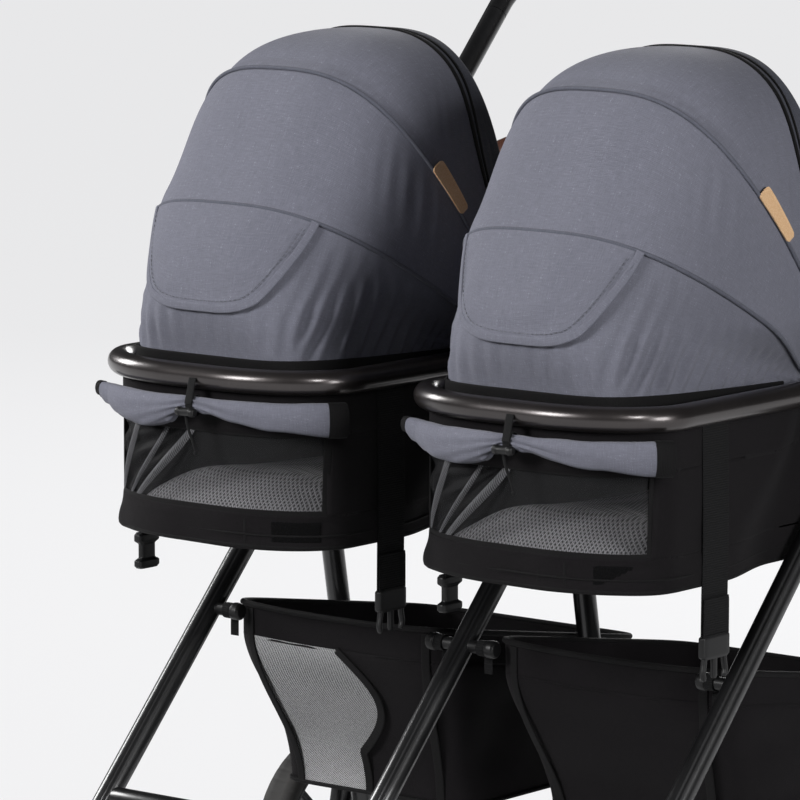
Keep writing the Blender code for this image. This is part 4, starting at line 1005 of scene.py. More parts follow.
# %% A row of stitches
def stitches(name, path, out, length=0.0034, pitch=0.0050, radius=0.00042):
    """Spindles along a path: radius falls to a third at both ends; out is the way off the surface."""
    run = np.concatenate([[0.0], np.cumsum(np.linalg.norm(np.diff(path, axis=0), axis=1))])
    out = np.broadcast_to(out, path.shape)
    count = int(run[-1] / pitch)
    where = (np.arange(count) + 0.5) * pitch
    spots = where[:, None] + np.array([-0.5, -0.3, 0.0, 0.3, 0.5]) * length
    middle = np.stack([np.interp(spots, run, path[:, k]) for k in range(3)], axis=-1)
    lift = np.stack([np.interp(spots, run, out[:, k]) for k in range(3)], axis=-1)
    side = unit(np.cross(unit(middle[:, -1:] - middle[:, :1]), lift))[:, :, None]
    up = unit(lift)[:, :, None]
    size = radius * np.array([0.34, 0.85, 1.0, 0.85, 0.34])[None, :, None, None]
    angle = ((np.arange(4) + 0.5) * np.pi / 2)[:, None]
    points = middle[:, :, None] + size * (np.cos(angle) * side + np.sin(angle) * up)
    first = np.arange(count)[:, None, None] * 20 + np.arange(4)[:, None] * 4
    base, after = first + np.arange(4), first + (np.arange(4) + 1) % 4
    quads = np.stack([base, after, after + 4, base + 4], axis=-1).reshape(-1, 4)
    ends = np.arange(count)[:, None] * 20
    caps = np.concatenate([ends + np.array([3, 2, 1, 0]), ends + np.array([16, 17, 18, 19])])
    data = bpy.data.meshes.new(name)
    data.from_pydata(points.reshape(-1, 3).tolist(), [], quads.tolist() + caps.tolist())
    turn_out(data)
    data.shade_smooth()
    made = bpy.data.objects.new(name, data)
    bpy.context.scene.collection.objects.link(made)
    return made


# %% [markdown]
# ## The roll-up flap
#
# A D-shaped flap hangs from the rear seam and can be rolled up to look in. Its outline
# is half a superellipse in the canopy's own two angles, a little fuller than a half
# circle. The cloth stands off the panel behind it a little more towards its free edge,
# which is what casts the thin shadow under it.

# %% Flaps
FLAP_MIDDLE, FLAP_HALF = np.radians([89.0, 28.5])
FLAP_FOOT = math.radians(11.5)


def flap_foot(a):
    """The flap's lower edge: the seam less its depth times (1 − |a|^2.4) to the power 1/2.2."""
    return SEAM_REAR - (SEAM_REAR - FLAP_FOOT) * np.clip(1 - np.abs(a) ** 2.4, 0, 1) ** (1 / 2.2)


for number, (tag, seat) in enumerate(SEATS.items()):
    a = np.sin(np.pi / 2 * np.linspace(-1, 1, 121))
    b = np.linspace(0, 1, 44)[:, None]
    phi = SEAM_REAR - (SEAM_REAR - flap_foot(a)) * b
    t = np.broadcast_to(FLAP_MIDDLE + FLAP_HALF * a, phi.shape)
    points = canopy(phi, t)
    broad, fine = ripples(points, 0.060, 50 + number), ripples(points, 0.026, 60 + number)
    creases = np.maximum(0.0022 * broad + 0.0009 * fine, -0.0006)
    lift = 0.0010 + 0.0008 * ease(b * 1.2) + creases * ease(b * 3) * ease((1 - b) * 4)
    grid = on_canopy(seat, phi, t, lift)
    flap = thicken(surface(f"flap_{tag}", grid), 0.0014, 1.0)
    dress(flap, melange, f"seat_{tag}")
    declare_cloth(flap, grid)
    edge = np.sin(np.pi / 2 * np.linspace(-1, 1, 4001))
    rim = np.stack([FLAP_MIDDLE + FLAP_HALF * edge, flap_foot(edge) + math.radians(0.6)], axis=1)
    rim = evenly(rim[rim[:, 1] < SEAM_REAR], 240)
    out = canopy_out(rim[:, 1], rim[:, 0])
    path = on_canopy(seat, rim[:, 1], rim[:, 0], np.full(len(rim), 0.0028))
    bound = strand(f"flap_binding_{tag}", path, band(0.0080, 0.0026, 20, 0.6), out)
    dress(bound, melange, f"seat_{tag}")
    inner = np.stack([FLAP_MIDDLE + FLAP_HALF * 0.90 * edge, flap_foot(edge) + np.radians(1.75)], axis=1)
    t, phi = evenly(inner[inner[:, 1] < SEAM_REAR - 0.03], 300).T
    sewn = on_canopy(seat, phi, t, np.full(300, 0.0040))
    row = stitches(f"flap_stitches_{tag}", sewn, canopy_out(phi, t))
    dress(row, thread.material, f"seat_{tag}")

# %% [markdown]
# ## Leather tabs
#
# Two small bare leather tabs are sewn over the front seam of each canopy, one on each
# side. A tab is a patch of the canopy's surface between two pairs of angles, with its
# corners pulled in, lifted off the cloth and thickened. Nothing is printed on them.

# %% Tabs
def canopy_patch(name, seat, t_range, phi_range, lift, thick, count=(26, 34)):
    """A patch between four angles: each share shrinks with the sixth power of the other."""
    a, b = np.meshgrid(np.linspace(-1, 1, count[0]), np.linspace(-1, 1, count[1]), indexing="ij")
    a, b = a * (1 - 0.10 * b ** 6), b * (1 - 0.04 * a ** 6)
    t = np.mean(t_range) + a * (t_range[1] - t_range[0]) / 2
    phi = np.mean(phi_range) + b * (phi_range[1] - phi_range[0]) / 2
    made = thicken(surface(name, on_canopy(seat, phi, t, np.full(t.shape, lift))), thick, 1.0)
    edge = made.modifiers.new("soft edge", "BEVEL")
    edge.width = 0.0004
    edge.segments = 2
    edge.limit_method = "ANGLE"
    return made


for tag, seat in SEATS.items():
    for side, t_range in (("near", (22.5, 34.5)), ("far", (145.5, 157.5))):
        tab = canopy_patch(f"tab_{side}_{tag}", seat, np.radians(t_range), np.radians((56.3, 60.8)),
                           0.0022, 0.0016)
        dress(tab, tan_leather, f"canopy_mid_{tag}")
print("tabs:", 2 * len(SEATS))

# %% [markdown]
# ## Bows and their hubs
#
# Inside each canopy three spring steel bows turn on studs. At the studs they lie side by
# side, then each leans out to the cloth and follows it a few millimetres under it. Only
# their ends and undersides show, so the line is what matters: it is the same superellipse
# moved inwards, joined to the pivot by an easing curve.

# %% Bows and seat hubs
BOW_R, BOW_STACK, BOW_INSET = 0.0035, 0.0076, 0.0105
BOW_ROOT = HOOP_HALF - 0.0256
HUB_R, HUB_HALF = 0.028, 0.0145


def bow_line(phi, stack):
    """A bow's centreline: straight at its root, eased out to the cloth, then under it."""
    root = BOW_ROOT - stack * BOW_STACK
    t = canopy_steps(phi, 90)
    over = canopy(phi, t) - canopy_out(phi, t) * BOW_INSET
    distance = np.hypot(over[:, 1] - CANOPY_Y, over[:, 2])
    over = over[distance > 0.140]
    out = np.array([0.0043, 0.010, 0.045, 0.070, 0.095, 0.120])
    power = 2 / through(CANOPY_KNOTS, CANOPY_POWER, np.array(phi))
    reach = through(CANOPY_KNOTS, CANOPY_REACH, np.array(phi))
    skin = canopy(phi, np.arcsin((np.maximum(out, 0.02) / reach) ** (1 / power)))[:, 0] - BOW_INSET
    across = root + (skin - root) * ease((out - 0.058) / 0.058)
    arm = np.stack([across, CANOPY_Y - out * math.cos(phi), out * math.sin(phi)], axis=1)
    line = np.concatenate([arm, over, arm[::-1] * np.array([-1.0, 1.0, 1.0])])
    return flowing(line, 200)


lead = math.radians(1.2)
BOWS = [("rear", SEAM_REAR - lead, 0, "seat"), ("mid", SEAM_FRONT - lead, 1, "canopy_mid"),
        ("front", WIRE, 2, "canopy_front")]
for tag, seat in SEATS.items():
    for name, phi, stack, body in BOWS:
        local = bow_line(float(phi), stack)
        path = place_local(seat, local)
        bow = strand(f"bow_wire_{name}_{tag}", path, ring(BOW_R, 16), (0, math.sin(phi), math.cos(phi)))
        dress(bow, steel, f"{body}_{tag}", f"bow_{name}_{tag}")
    for hand, word in ((-1, "a"), (1, "b")):
        centre = at(seat + hand * HOOP_HALF, HUB_Y, 0.0)
        face = np.array([(-HUB_HALF, 0.0001), (-HUB_HALF - 0.0006, 0.006), (-HUB_HALF - 0.0006, 0.010),
                         (-HUB_HALF + 0.0006, 0.0112), (-HUB_HALF + 0.0006, 0.0185), (-HUB_HALF, 0.0198),
                         (-HUB_HALF, HUB_R - 0.003), (0.003 - HUB_HALF, HUB_R)])
        profile = np.concatenate([face, face[::-1] * np.array([-1.0, 1.0])])
        hub = knob(f"seat_hub_cap_{tag}_{word}", profile, 0.0008, centre)
        dress(hub, black_plastic, f"seat_{tag}", f"seat_hub_{tag}_{word}")
        inside = at(seat + hand * (BOW_ROOT - 2 * BOW_STACK - BOW_R), CANOPY_Y, 0.0)
        profile = np.array([(0.0, 0.0001), (0.0, 0.0046), (0.0012, 0.0046), (0.0014, 0.0040),
                            (0.0230, 0.0040), (0.0230, 0.0090), (0.0270, 0.0090), (0.0270, 0.0001)])
        stud = knob(f"bow_stud_{tag}_{word}", profile, 0.0005, inside, 32, (hand, 0, 0))
        dress(stud, steel, f"seat_{tag}")
print("bows:", 3 * len(SEATS))

# %% [markdown]
# ## The tub's outline
#
# Under each hoop hangs a soft tub. Seen from above it is the hoop's own shape with a
# waist where the legs fold past it, and seen from the side its floor rises towards the
# foot end. The whole wall is one function of two numbers: how far round, from −½ to ½
# with nothing at the middle of the head end, and how far down, from 0 at the rim to 1.

# %% The tub function
TUB_INSET, TUB_RIM, TUB_WALL = 0.005, 0.0103, 0.003
TUB_DEEP, TUB_FOOT_DEEP = 0.158, 0.100
TUB_WAIST = HOOP_HALF - 0.0285


def tub_half(y, level, inset=0.0):
    """Half the tub's width: full, less a waist that moves headwards lower down, and round ends."""
    full, low = HOOP_HALF - TUB_INSET, ease(level)
    start, end = 0.240 - 0.100 * low, 0.305 - 0.055 * low
    narrow = ease((y - start) / (end - start)) * (1 - ease((y - 0.440) / 0.060) * (1 - low))
    half = full - (full - TUB_WAIST) * narrow
    side, reach = HOOP_HALF - CORNER_X, CORNER_Y - TUB_INSET
    from_end = np.clip(np.minimum(y - TUB_INSET, HOOP_LENGTH - TUB_INSET - y), 0.0, reach)
    rounding = np.sqrt(np.maximum(0.0, 1 - ((reach - from_end) / reach) ** 2))
    return side + (half - side) * rounding - inset


def tub_floor(y):
    """Height of the tub's underside: deep at the head, and eased up to its foot end."""
    return -(TUB_DEEP + (TUB_FOOT_DEEP - TUB_DEEP) * ease((y - 0.380) / 0.300))


def tub_ring(level, count=1201):
    """The tub's outline at a level, from the middle of its foot round the head and back."""
    turn = (1 - np.cos(np.pi * np.linspace(0, 1, 500))) / 2
    y = TUB_INSET + (HOOP_LENGTH - 2 * TUB_INSET) * turn
    z = -TUB_RIM + (tub_floor(y) + TUB_RIM) * level
    side = np.stack([tub_half(y, level), y, z], axis=1)
    middle = side[:1] * np.array([0.0, 1.0, 1.0])
    foot = side[-1:] * np.array([0.0, 1.0, 1.0])
    line = np.concatenate([foot, (side * np.array([-1.0, 1.0, 1.0]))[::-1], middle, side, foot])
    return evenly(line, count)


def along_rings(rings, share):
    """Points at shares of each ring's length, from −½ to ½; the shares may differ from ring to ring."""
    share = np.broadcast_to(share, (len(rings), np.shape(share)[-1]))
    spot = (share + 0.5) * (rings.shape[1] - 1)
    low = np.clip(spot.astype(int), 0, rings.shape[1] - 2)
    part = (spot - low)[..., None]
    row = np.arange(len(rings))[:, None]
    return rings[row, low] * (1 - part) + rings[row, low + 1] * part


def tub_wall(level, share, lift=0.0):
    """Wall points for rows of levels and columns of shares, moved off the wall by lift."""
    grid = along_rings(np.stack([tub_ring(float(one)) for one in level]), share)
    ahead = np.gradient(grid, axis=1)
    out = unit(np.stack([ahead[..., 1], -ahead[..., 0], np.zeros(ahead.shape[:2])], axis=-1))
    return grid + out * np.asarray(lift)[..., None]


half_way = tub_ring(0.5)
around = float(np.linalg.norm(np.diff(half_way, axis=0), axis=1).sum())
window_half = float(np.abs(np.linspace(-0.5, 0.5, len(half_way))[half_way[:, 1] < 0.046]).max())
WINDOW_TOP, WINDOW_FOOT = 0.255, 0.790
TIE_AT = 0.010
PLEATS = [("one", -0.02, -0.64, 0.0130), ("two", -0.24, -0.74, 0.0080), ("three", -0.58, -0.93, 0.0120)]
print(f"tub is {around:.3f} m round, and its window takes {2 * window_half * around:.3f} m of that")

# %% [markdown]
# ## Tub cloth
#
# The lower band, the sides and the strip under the hoop are black oxford cloth. They are
# three pieces, as they are on the real thing, with the mesh window between them. The
# floor goes on from the last ring of the wall: the same ring drawn in to the middle line.
# Slow ripples keep it from looking pressed out of tin. The tie pulls the window's mesh into three narrow
# pleats. There it lies double and so lets less through, and its threads are painted paler as a painted sheen
# on the folds.

# %% Bands, sides and floor
def slack(grid, seed, deep=0.0014):
    """Ripples of slack cloth, with long waves and half as many short ones."""
    return deep * (ripples(grid, 0.16, seed) + 0.5 * ripples(grid, 0.06, seed + 1))


def past_legs(grid):
    """0 at the tub's head and 1 behind it, where the legs pass."""
    return ease((grid[..., 1] - 0.14) / 0.05)


def off_legs(grid, lift):
    """The lift without its outward part where the legs pass the tub."""
    return lift - np.maximum(lift, 0.0) * past_legs(grid)


def held_edges(level, low, high, soft=0.05):
    """1 in the middle of a panel and 0 at its two sewn edges."""
    return (ease((level - low) / soft) * ease((high - level) / soft))[:, None]


everywhere = np.linspace(-0.5, 0.5, 361)[:-1]
for number, (tag, seat) in enumerate(SEATS.items()):
    level = np.linspace(0.0, WINDOW_TOP + 0.02, 8)
    strip = surface(f"tub_top_{tag}", place_local(seat, tub_wall(level, everywhere)), tube=True)
    dress(thicken(strip, 0.0022), oxford, f"seat_{tag}", f"tub_{tag}")
    level = np.concatenate([np.linspace(WINDOW_FOOT, 0.965, 16), [0.985, 1.0]])
    plain = tub_wall(level, everywhere)
    corner = bell(everywhere, -window_half, 0.010) * bell(level[:, None], 0.97, 0.10)
    folds = slack(plain, 70 + number, 0.0022) * held_edges(level, WINDOW_FOOT, 1.0)
    wall = tub_wall(level, everywhere, off_legs(plain, folds) + 0.0060 * corner)
    inward = np.array([0.985, 0.9, 0.72, 0.5, 0.25, 0.0])[:, None]
    base = np.stack(np.broadcast_arrays(wall[-1, :, 0] * inward, wall[-1, :, 1], wall[-1, :, 2] - 0.0006),
                    axis=-1)
    sag = 0.0015 * ripples(base, 0.14, 80 + number) * (1 - 0.7 * past_legs(base))
    base[..., 2] -= np.abs(sag)
    lower = surface(f"tub_band_{tag}", place_local(seat, np.concatenate([wall, base])), tube=True)
    dress(thicken(lower, 0.0022), oxford, f"seat_{tag}", f"tub_{tag}")
    level = np.linspace(WINDOW_TOP, WINDOW_FOOT + 0.01, 22)
    for name, start, end in (("far", -0.5, -window_half), ("near", window_half, 0.5)):
        share = np.linspace(start, end, 130)
        plain = tub_wall(level, share)
        folds = slack(plain, 90 + number, 0.0020) * held_edges(level, WINDOW_TOP, WINDOW_FOOT + 0.01, 0.15)
        grid = tub_wall(level, share, off_legs(plain, folds))
        side = surface(f"tub_side_{name}_{tag}", place_local(seat, grid))
        dress(thicken(side, 0.0022), oxford, f"seat_{tag}", f"tub_{tag}")
    level = np.linspace(WINDOW_TOP, WINDOW_FOOT, 40)
    share = np.linspace(-window_half, window_half, 200)
    run = share[None, :] * around
    drop = (level[:, None] - WINDOW_TOP) * (TUB_DEEP - TUB_RIM)
    angle = np.arctan2(drop + 0.012, run - TIE_AT)
    far = np.hypot(drop, run - TIE_AT)
    pulls = np.sin(angle * 34 + 1.5 * np.sin(far * 40)) * ease((angle - 1.65) / 0.5) * ease(far / 0.03)
    lift = 0.0026 * pulls * held_edges(level, WINDOW_TOP, WINDOW_FOOT, 0.06) - 0.001
    grid = tub_wall(level, share, lift)
    window = surface(f"window_{tag}", place_local(seat, grid))
    dress(window, window_mesh, f"seat_{tag}", f"tub_{tag}")
    declare_cloth(window, grid)
    across = np.linspace(-0.5, 0.5, 9)
    for name, upper, lower, wide in PLEATS:
        go = ((level - WINDOW_TOP) / (WINDOW_FOOT - WINDOW_TOP))[:, None]
        middle = window_half * (upper + (lower - upper) * go ** 1.15)
        spread = wide * (0.35 + 0.65 * np.sin(np.pi * (0.15 + 0.7 * go))) / around
        ridge = 0.0012 + 0.0028 * np.cos(np.pi * across) * np.sin(np.pi * np.clip(go, 0.02, 0.98))
        grid = tub_wall(level, middle + across * spread, ridge)
        pleat = surface(f"window_pleat_{name}_{tag}", place_local(seat, grid))
        # The pleats' paler threads are a painted sheen on the gathered folds.
        dress(pleat, pleat_mesh_painted_pale, f"seat_{tag}")
        declare_cloth(pleat, grid)

# %% [markdown]
# ## Bindings, piping and patches of the tub
#
# The window is framed in tape, a piping goes round the floor, and a patch of hook and
# loop sits at the corner. They are tapes carried along lines of the wall, so they share
# its function as the cloth does. The patch is a small grid of the wall, lifted off it.

# %% Trims of the tub
def tub_out(path):
    """Level direction away from the seat's middle along a line of the wall."""
    ahead = np.gradient(path, axis=0)
    return unit(np.stack([ahead[:, 1], -ahead[:, 0], np.zeros(len(path))], axis=1))


for tag, seat in SEATS.items():
    floor_line = place_local(seat, tub_ring(1.0, 500)[:-1])
    piping = closed_strand(f"floor_piping_{tag}", floor_line, ring(0.0026, 12), (0, 0, 1))
    dress(piping, binding, f"seat_{tag}")
    for name, level, radius in (("line", 0.925, 0.0012), ("edge", 0.80, 0.0007)):
        line = place_local(seat, tub_wall(np.array([level]), everywhere, 0.0014)[0])
        welt = closed_strand(f"band_{name}_{tag}", line, ring(radius, 10), (0, 0, 1))
        dress(welt, binding, f"seat_{tag}")
    level = np.linspace(WINDOW_FOOT, 0.99, 24)
    for name, spot in (("one", -0.060), ("two", 0.030), ("three", 0.058)):
        beside = spot / around + np.array([-1e-4, 0, 1e-4])
        line = place_local(seat, tub_wall(level, beside, 0.0010)[:, 1])
        welt = strand(f"band_seam_{name}_{tag}", line, band(0.0030, 0.0014, 12), (0, -1, 0))
        dress(welt, binding, f"seat_{tag}")
    share = np.linspace(-window_half - 0.003, window_half + 0.003, 160)
    for name, level, wide in (("foot", WINDOW_FOOT, 0.0085), ("head", WINDOW_TOP + 0.01, 0.0075)):
        line = place_local(seat, tub_wall(np.array([level]), share, 0.0009)[0])
        tape = strand(f"window_tape_{name}_{tag}", line, band(wide, 0.0018), tub_out(line))
        dress(tape, binding, f"seat_{tag}")
    for name, edge in (("far", -window_half), ("near", window_half)):
        level = np.linspace(WINDOW_TOP, WINDOW_FOOT, 30)
        upright = tub_wall(level, np.array([edge - 0.001, edge, edge + 0.001]), np.full((30, 3), 0.0010))
        out = np.cross(upright[:, 2] - upright[:, 0], np.array([0.0, 0.0, 1.0]))
        line = place_local(seat, upright[:, 1])
        tape = strand(f"window_tape_{name}_{tag}", line, band(0.0080, 0.0018), unit(out))
        dress(tape, binding, f"seat_{tag}")
    lined = tub_ring(0.9)
    share = np.linspace(-0.5, 0.5, 1201)
    corner = (lined[:, 0] > 0.083) & (lined[:, 0] < 0.1235) & (lined[:, 1] < 0.050)
    share = np.linspace(share[corner].min(), share[corner].max(), 24)
    grid = tub_wall(np.linspace(0.835, 0.965, 10), share, 0.0016)
    patch = thicken(surface(f"hook_patch_{tag}", place_local(seat, grid)), 0.0012, 1.0)
    dress(patch, hook.material, f"seat_{tag}")
print("tub trims ready")

# %% [markdown]
# ## The mattress, puffed by pressure
#
# A mattress is stuffed, so its shape comes from its filling pushing on its cover. A slightly smaller crowned
# pad is cut into even cells, and Blender's cloth pushes it out from inside for twenty frames. No point may
# move more than a few millimetres, so the mat keeps clear of the tub.

# %% Mattresses
PUFF = 0.0045


def mat_grid(rows=70, columns=56):
    """A crowned pad on the tub's floor: powers of cosine and sine round it, and drawn-in sides."""
    inset = TUB_WALL + 0.0025 + PUFF
    turn = (1 - np.cos(np.pi * np.linspace(0.02, 0.98, rows))) / 2
    y = TUB_INSET + inset + (HOOP_LENGTH - 2 * (TUB_INSET + inset)) * turn
    along = (y - y[0]) / (y[-1] - y[0])
    ends = np.sin(np.pi * along)
    half = tub_half(y, 1.0, inset) - 0.004 * ends
    floor_z = tub_floor(y) + TUB_WALL + 0.0003 + PUFF
    thick = 0.034 * (0.72 + 0.28 * np.minimum(1.0, 8 * np.minimum(along, 1 - along))) - 2 * PUFF
    crown = 0.013 * np.minimum(1.0, 3.2 * ends)
    angle = 2 * np.pi * np.arange(columns) / columns
    c, s = np.cos(angle), np.sin(angle)
    across = np.sign(c) * np.abs(c) ** 0.42
    rise = np.sign(s) * np.abs(s) ** 0.55
    z = floor_z[:, None] + thick[:, None] / 2 * (1 + rise)
    z += crown[:, None] * (1 - across ** 2) * np.maximum(rise, 0)
    z += 0.008 * bell(y[:, None], 0.085, 0.055) * (1 - across ** 4) * np.maximum(rise, 0)
    return np.stack([half[:, None] * across, np.broadcast_to(y[:, None], z.shape), z], axis=-1)


def points_of(data):
    """A mesh's vertex places as an array."""
    flat = np.empty(len(data.vertices) * 3)
    data.vertices.foreach_get("co", flat)
    return flat.reshape(-1, 3)


def puffed(piece, cell, pressure, most):
    """Remeshes a closed pad and lets pressure swell it, by at most a given movement of each point."""
    cut = piece.modifiers.new("even cells", "REMESH")
    cut.mode = "VOXEL"
    cut.voxel_size = cell
    cut.use_smooth_shade = True
    graph = bpy.context.evaluated_depsgraph_get()
    data = bpy.data.meshes.new_from_object(piece.evaluated_get(graph))
    piece.modifiers.clear()
    piece.data = data
    start = points_of(data)
    cloth = piece.modifiers.new("pressure", "CLOTH")
    cloth.settings.use_pressure = True
    cloth.settings.uniform_pressure_force = pressure
    cloth.settings.effector_weights.gravity = 0.0
    cloth.settings.quality = 4
    for moment in range(1, 21):
        bpy.context.scene.frame_set(moment)
    graph = bpy.context.evaluated_depsgraph_get()
    moved = points_of(piece.evaluated_get(graph).data) - start
    long = np.linalg.norm(moved, axis=1, keepdims=True)
    kept = start + moved * np.minimum(1.0, most / np.maximum(long, 1e-9))
    piece.modifiers.clear()
    data.vertices.foreach_set("co", kept.ravel())
    data.update()
    bpy.context.scene.frame_set(1)
    print(f"{piece.name}: moved by {1000 * np.minimum(long, most).mean():.1f} mm on average")
    finer = piece.modifiers.new("finer", "SUBSURF")
    finer.levels = finer.render_levels = 1
    return piece


for tag, seat in SEATS.items():
    mat = surface(f"mattress_pad_{tag}", place_local(seat, mat_grid()), tube=True, caps=True)
    puffed(mat, 0.006, 4.0, PUFF)
    dress(mat, mattress_knit, f"seat_{tag}", f"mattress_{tag}")

# %% [markdown]
# ## The rolled window cover
#
# The cover of the window is rolled up under the hoop and tied in its middle by a strap of
# elastic. Cloth rolled this loosely is flat rather than round: its top edge is held, and
# its lower edge rises where the tie pulls it in. So a flat outline is carried along a
# line and hung from a fixed top, and its height at each point comes from a smooth curve
# through a few measured ones. Black tape binds its two ends.

# %% Rolled covers
ROLL_TOP = -0.0188
ROLL_OUT = 0.0163
ROLL_KNOTS = np.array([-0.150, -0.135, -0.118, -0.095, -0.022, -0.004,
                       0.010, 0.024, 0.060, 0.098, 0.150])
ROLL_TALL = np.array([0.0050, 0.0068, 0.0105, 0.0134, 0.0130, 0.0080,
                      0.0056, 0.0068, 0.0102, 0.0130, 0.0160])


def roll_line(count=300):
    """A straight tip that stands off the corner, then the head end's outline, outside the wall."""
    side = HOOP_HALF - CORNER_X
    reach_x, reach_y = CORNER_X - TUB_INSET + ROLL_OUT, CORNER_Y - TUB_INSET + ROLL_OUT
    angle = np.linspace(228, 344, 400)
    turn = np.radians(angle)
    x = np.where(angle < 270, -side, side) + reach_x * np.cos(turn)
    flat = np.stack([x, CORNER_Y + reach_y * np.sin(turn)], axis=1)
    tip = flat[:1] + 0.027 * np.array([-0.95, 0.31])
    return evenly(np.concatenate([tip, flat]), count)


def roll_grid(seat, line, height, grow, seed):
    """A flattened outline with a step where the cloth's edge lies, hung from the roll's top."""
    angle = np.arange(56) * 2 * np.pi / 56
    step = 1 + 0.07 * ((angle / (2 * np.pi) + 0.28) % 1.0)
    a = np.sign(np.cos(angle)) * np.abs(np.cos(angle)) ** 0.7 * step
    b = np.sin(angle) * step
    ahead = unit(np.gradient(line, axis=0))
    out = np.stack([ahead[:, 1], -ahead[:, 0]], axis=1)
    size = (height + grow)[:, None]
    thick = 0.0040 + 0.28 * size
    x = line[:, :1] + out[:, :1] * a * thick
    y = line[:, 1:] + out[:, 1:] * a * thick
    z = ROLL_TOP - height[:, None] + b * size
    grid = np.stack([x, y, np.broadcast_to(z, x.shape)], axis=-1)
    from_tie = np.abs(line[:, :1] - TIE_AT)
    gathered = np.exp(-from_tie / 0.050)
    fan = np.sin((z - ROLL_TOP) * 900 / (0.4 + 20 * from_tie))
    crease = 0.0011 * ripples(grid, 0.05, seed) + 0.0009 * fan * gathered
    grid[..., 0] += out[:, :1] * crease * np.sign(a)
    grid[..., 1] += out[:, 1:] * crease * np.sign(a)
    grid[..., 2] += crease * np.sign(b)
    return place_local(seat, grid)


for number, (tag, seat) in enumerate(SEATS.items()):
    whole = roll_line()
    tall = through(ROLL_KNOTS, ROLL_TALL, whole[:, 0])
    line, height = whole[6:-16], tall[6:-16]
    grid = roll_grid(seat, line, height, 0.0, 100 + number)
    roll = surface(f"window_roll_{tag}", grid, tube=True, caps=True)
    dress(roll, melange, f"seat_{tag}", f"window_flap_{tag}")
    for name, part in (("far", slice(0, 8)), ("near", slice(-18, None))):
        grid = roll_grid(seat, whole[part], tall[part], 0.0007, 100 + number)
        end = surface(f"roll_end_{name}_{tag}", grid, tube=True, caps=True)
        dress(end, binding, f"seat_{tag}")
print("rolls:", len(SEATS))

# %% [markdown]
# ## Ties
#
# A strap of elastic comes down from the hoop, goes round the roll and through a small
# toggle, and its loose end hangs in front of the window. The loose end is short and limp,
# 38 mm of it, and it ends in a knot.

# %% Ties, toggles and loose ends
for tag, seat in SEATS.items():
    turn = np.linspace(0, 2 * np.pi, 49)[:-1]
    y0 = TUB_INSET - ROLL_OUT
    loop_path = at(seat + TIE_AT, y0 - 0.0072 * np.cos(turn), ROLL_TOP - 0.0072 + 0.0098 * np.sin(turn))
    tie = closed_strand(f"tie_{tag}", loop_path, band(0.0012, 0.0085, 16), (1, 0, 0))
    dress(tie, elastic, f"seat_{tag}")
    hang = at(seat + TIE_AT, np.array([-0.0125, -0.0145, -0.0165, -0.0195]),
              np.array([0.0, -0.006, -0.014, -0.024]))
    riser = strand(f"tie_riser_{tag}", flowing(hang, 24), band(0.0088, 0.0011, 16), (0, -1, 0))
    dress(riser, elastic, f"seat_{tag}")
    spot = at(seat + TIE_AT, y0 - 0.0115, ROLL_TOP - 0.0125)
    half_toggle = 1.22 * np.array([(0.0046, 0.0033), (0.0050, 0.0040), (0.0080, 0.0036),
                                   (0.0095, 0.0026), (0.0095, 0.0001)])
    toggle = knob(f"toggle_{tag}", mirrored(half_toggle), 0.0006, spot, 40)
    dress(toggle, black_plastic, f"seat_{tag}")
    drop = np.array([(0.0, 0.0, -0.003), (0.0015, -0.0004, -0.009), (0.004, 0.0002, -0.018),
                     (0.0075, 0.0016, -0.028), (0.0105, 0.0026, -0.0385)])
    tail_path = spot + flowing(drop, 40)
    long = float(np.linalg.norm(np.diff(tail_path, axis=0), axis=1).sum())
    tail = strand(f"tie_tail_{tag}", tail_path, ring(0.0014, 12), (0, 1, 0))
    dress(tail, elastic, f"seat_{tag}")
    knot_angle = np.linspace(0, np.pi, 14)
    knot_radius = np.maximum(0.0024 * np.sin(knot_angle), 0.0001)
    knot_profile = np.stack([-0.0026 * np.cos(knot_angle), knot_radius], axis=1)
    knot = surface(f"tie_knot_{tag}", turned(knot_profile, tail_path[-1], 20, (0, 0, 1)),
                   tube=True, caps=True)
    dress(knot, elastic, f"seat_{tag}")
print(f"loose end: {1000 * long:.0f} mm")

# %% [markdown]
# ## Straps and buckles
#
# A wide strap of webbing comes down the near side of each tub and ends in the plug of a
# side release buckle, and the socket of another hangs at the far corner. Webbing is a flat
# band carried down a line that bows out a little. A buckle's plug is a moulded block with
# two springy arms and a middle guide, each a small band carried along its own line.

# %% Straps, plugs and sockets
STRAP_Y, SOCKET_Y = 0.126, 0.090


def moulded_bar(name, points, outline, hint, count=30, tip=0.7):
    """A rounded outline carried along a smooth line, a little smaller at both tips."""
    path = flowing(np.array(points), count)
    where = np.linspace(0, 1, count)
    size = tip + (1 - tip) * ease(np.minimum(where, 1 - where) * 9)
    return strand(name, path, outline, hint, size)


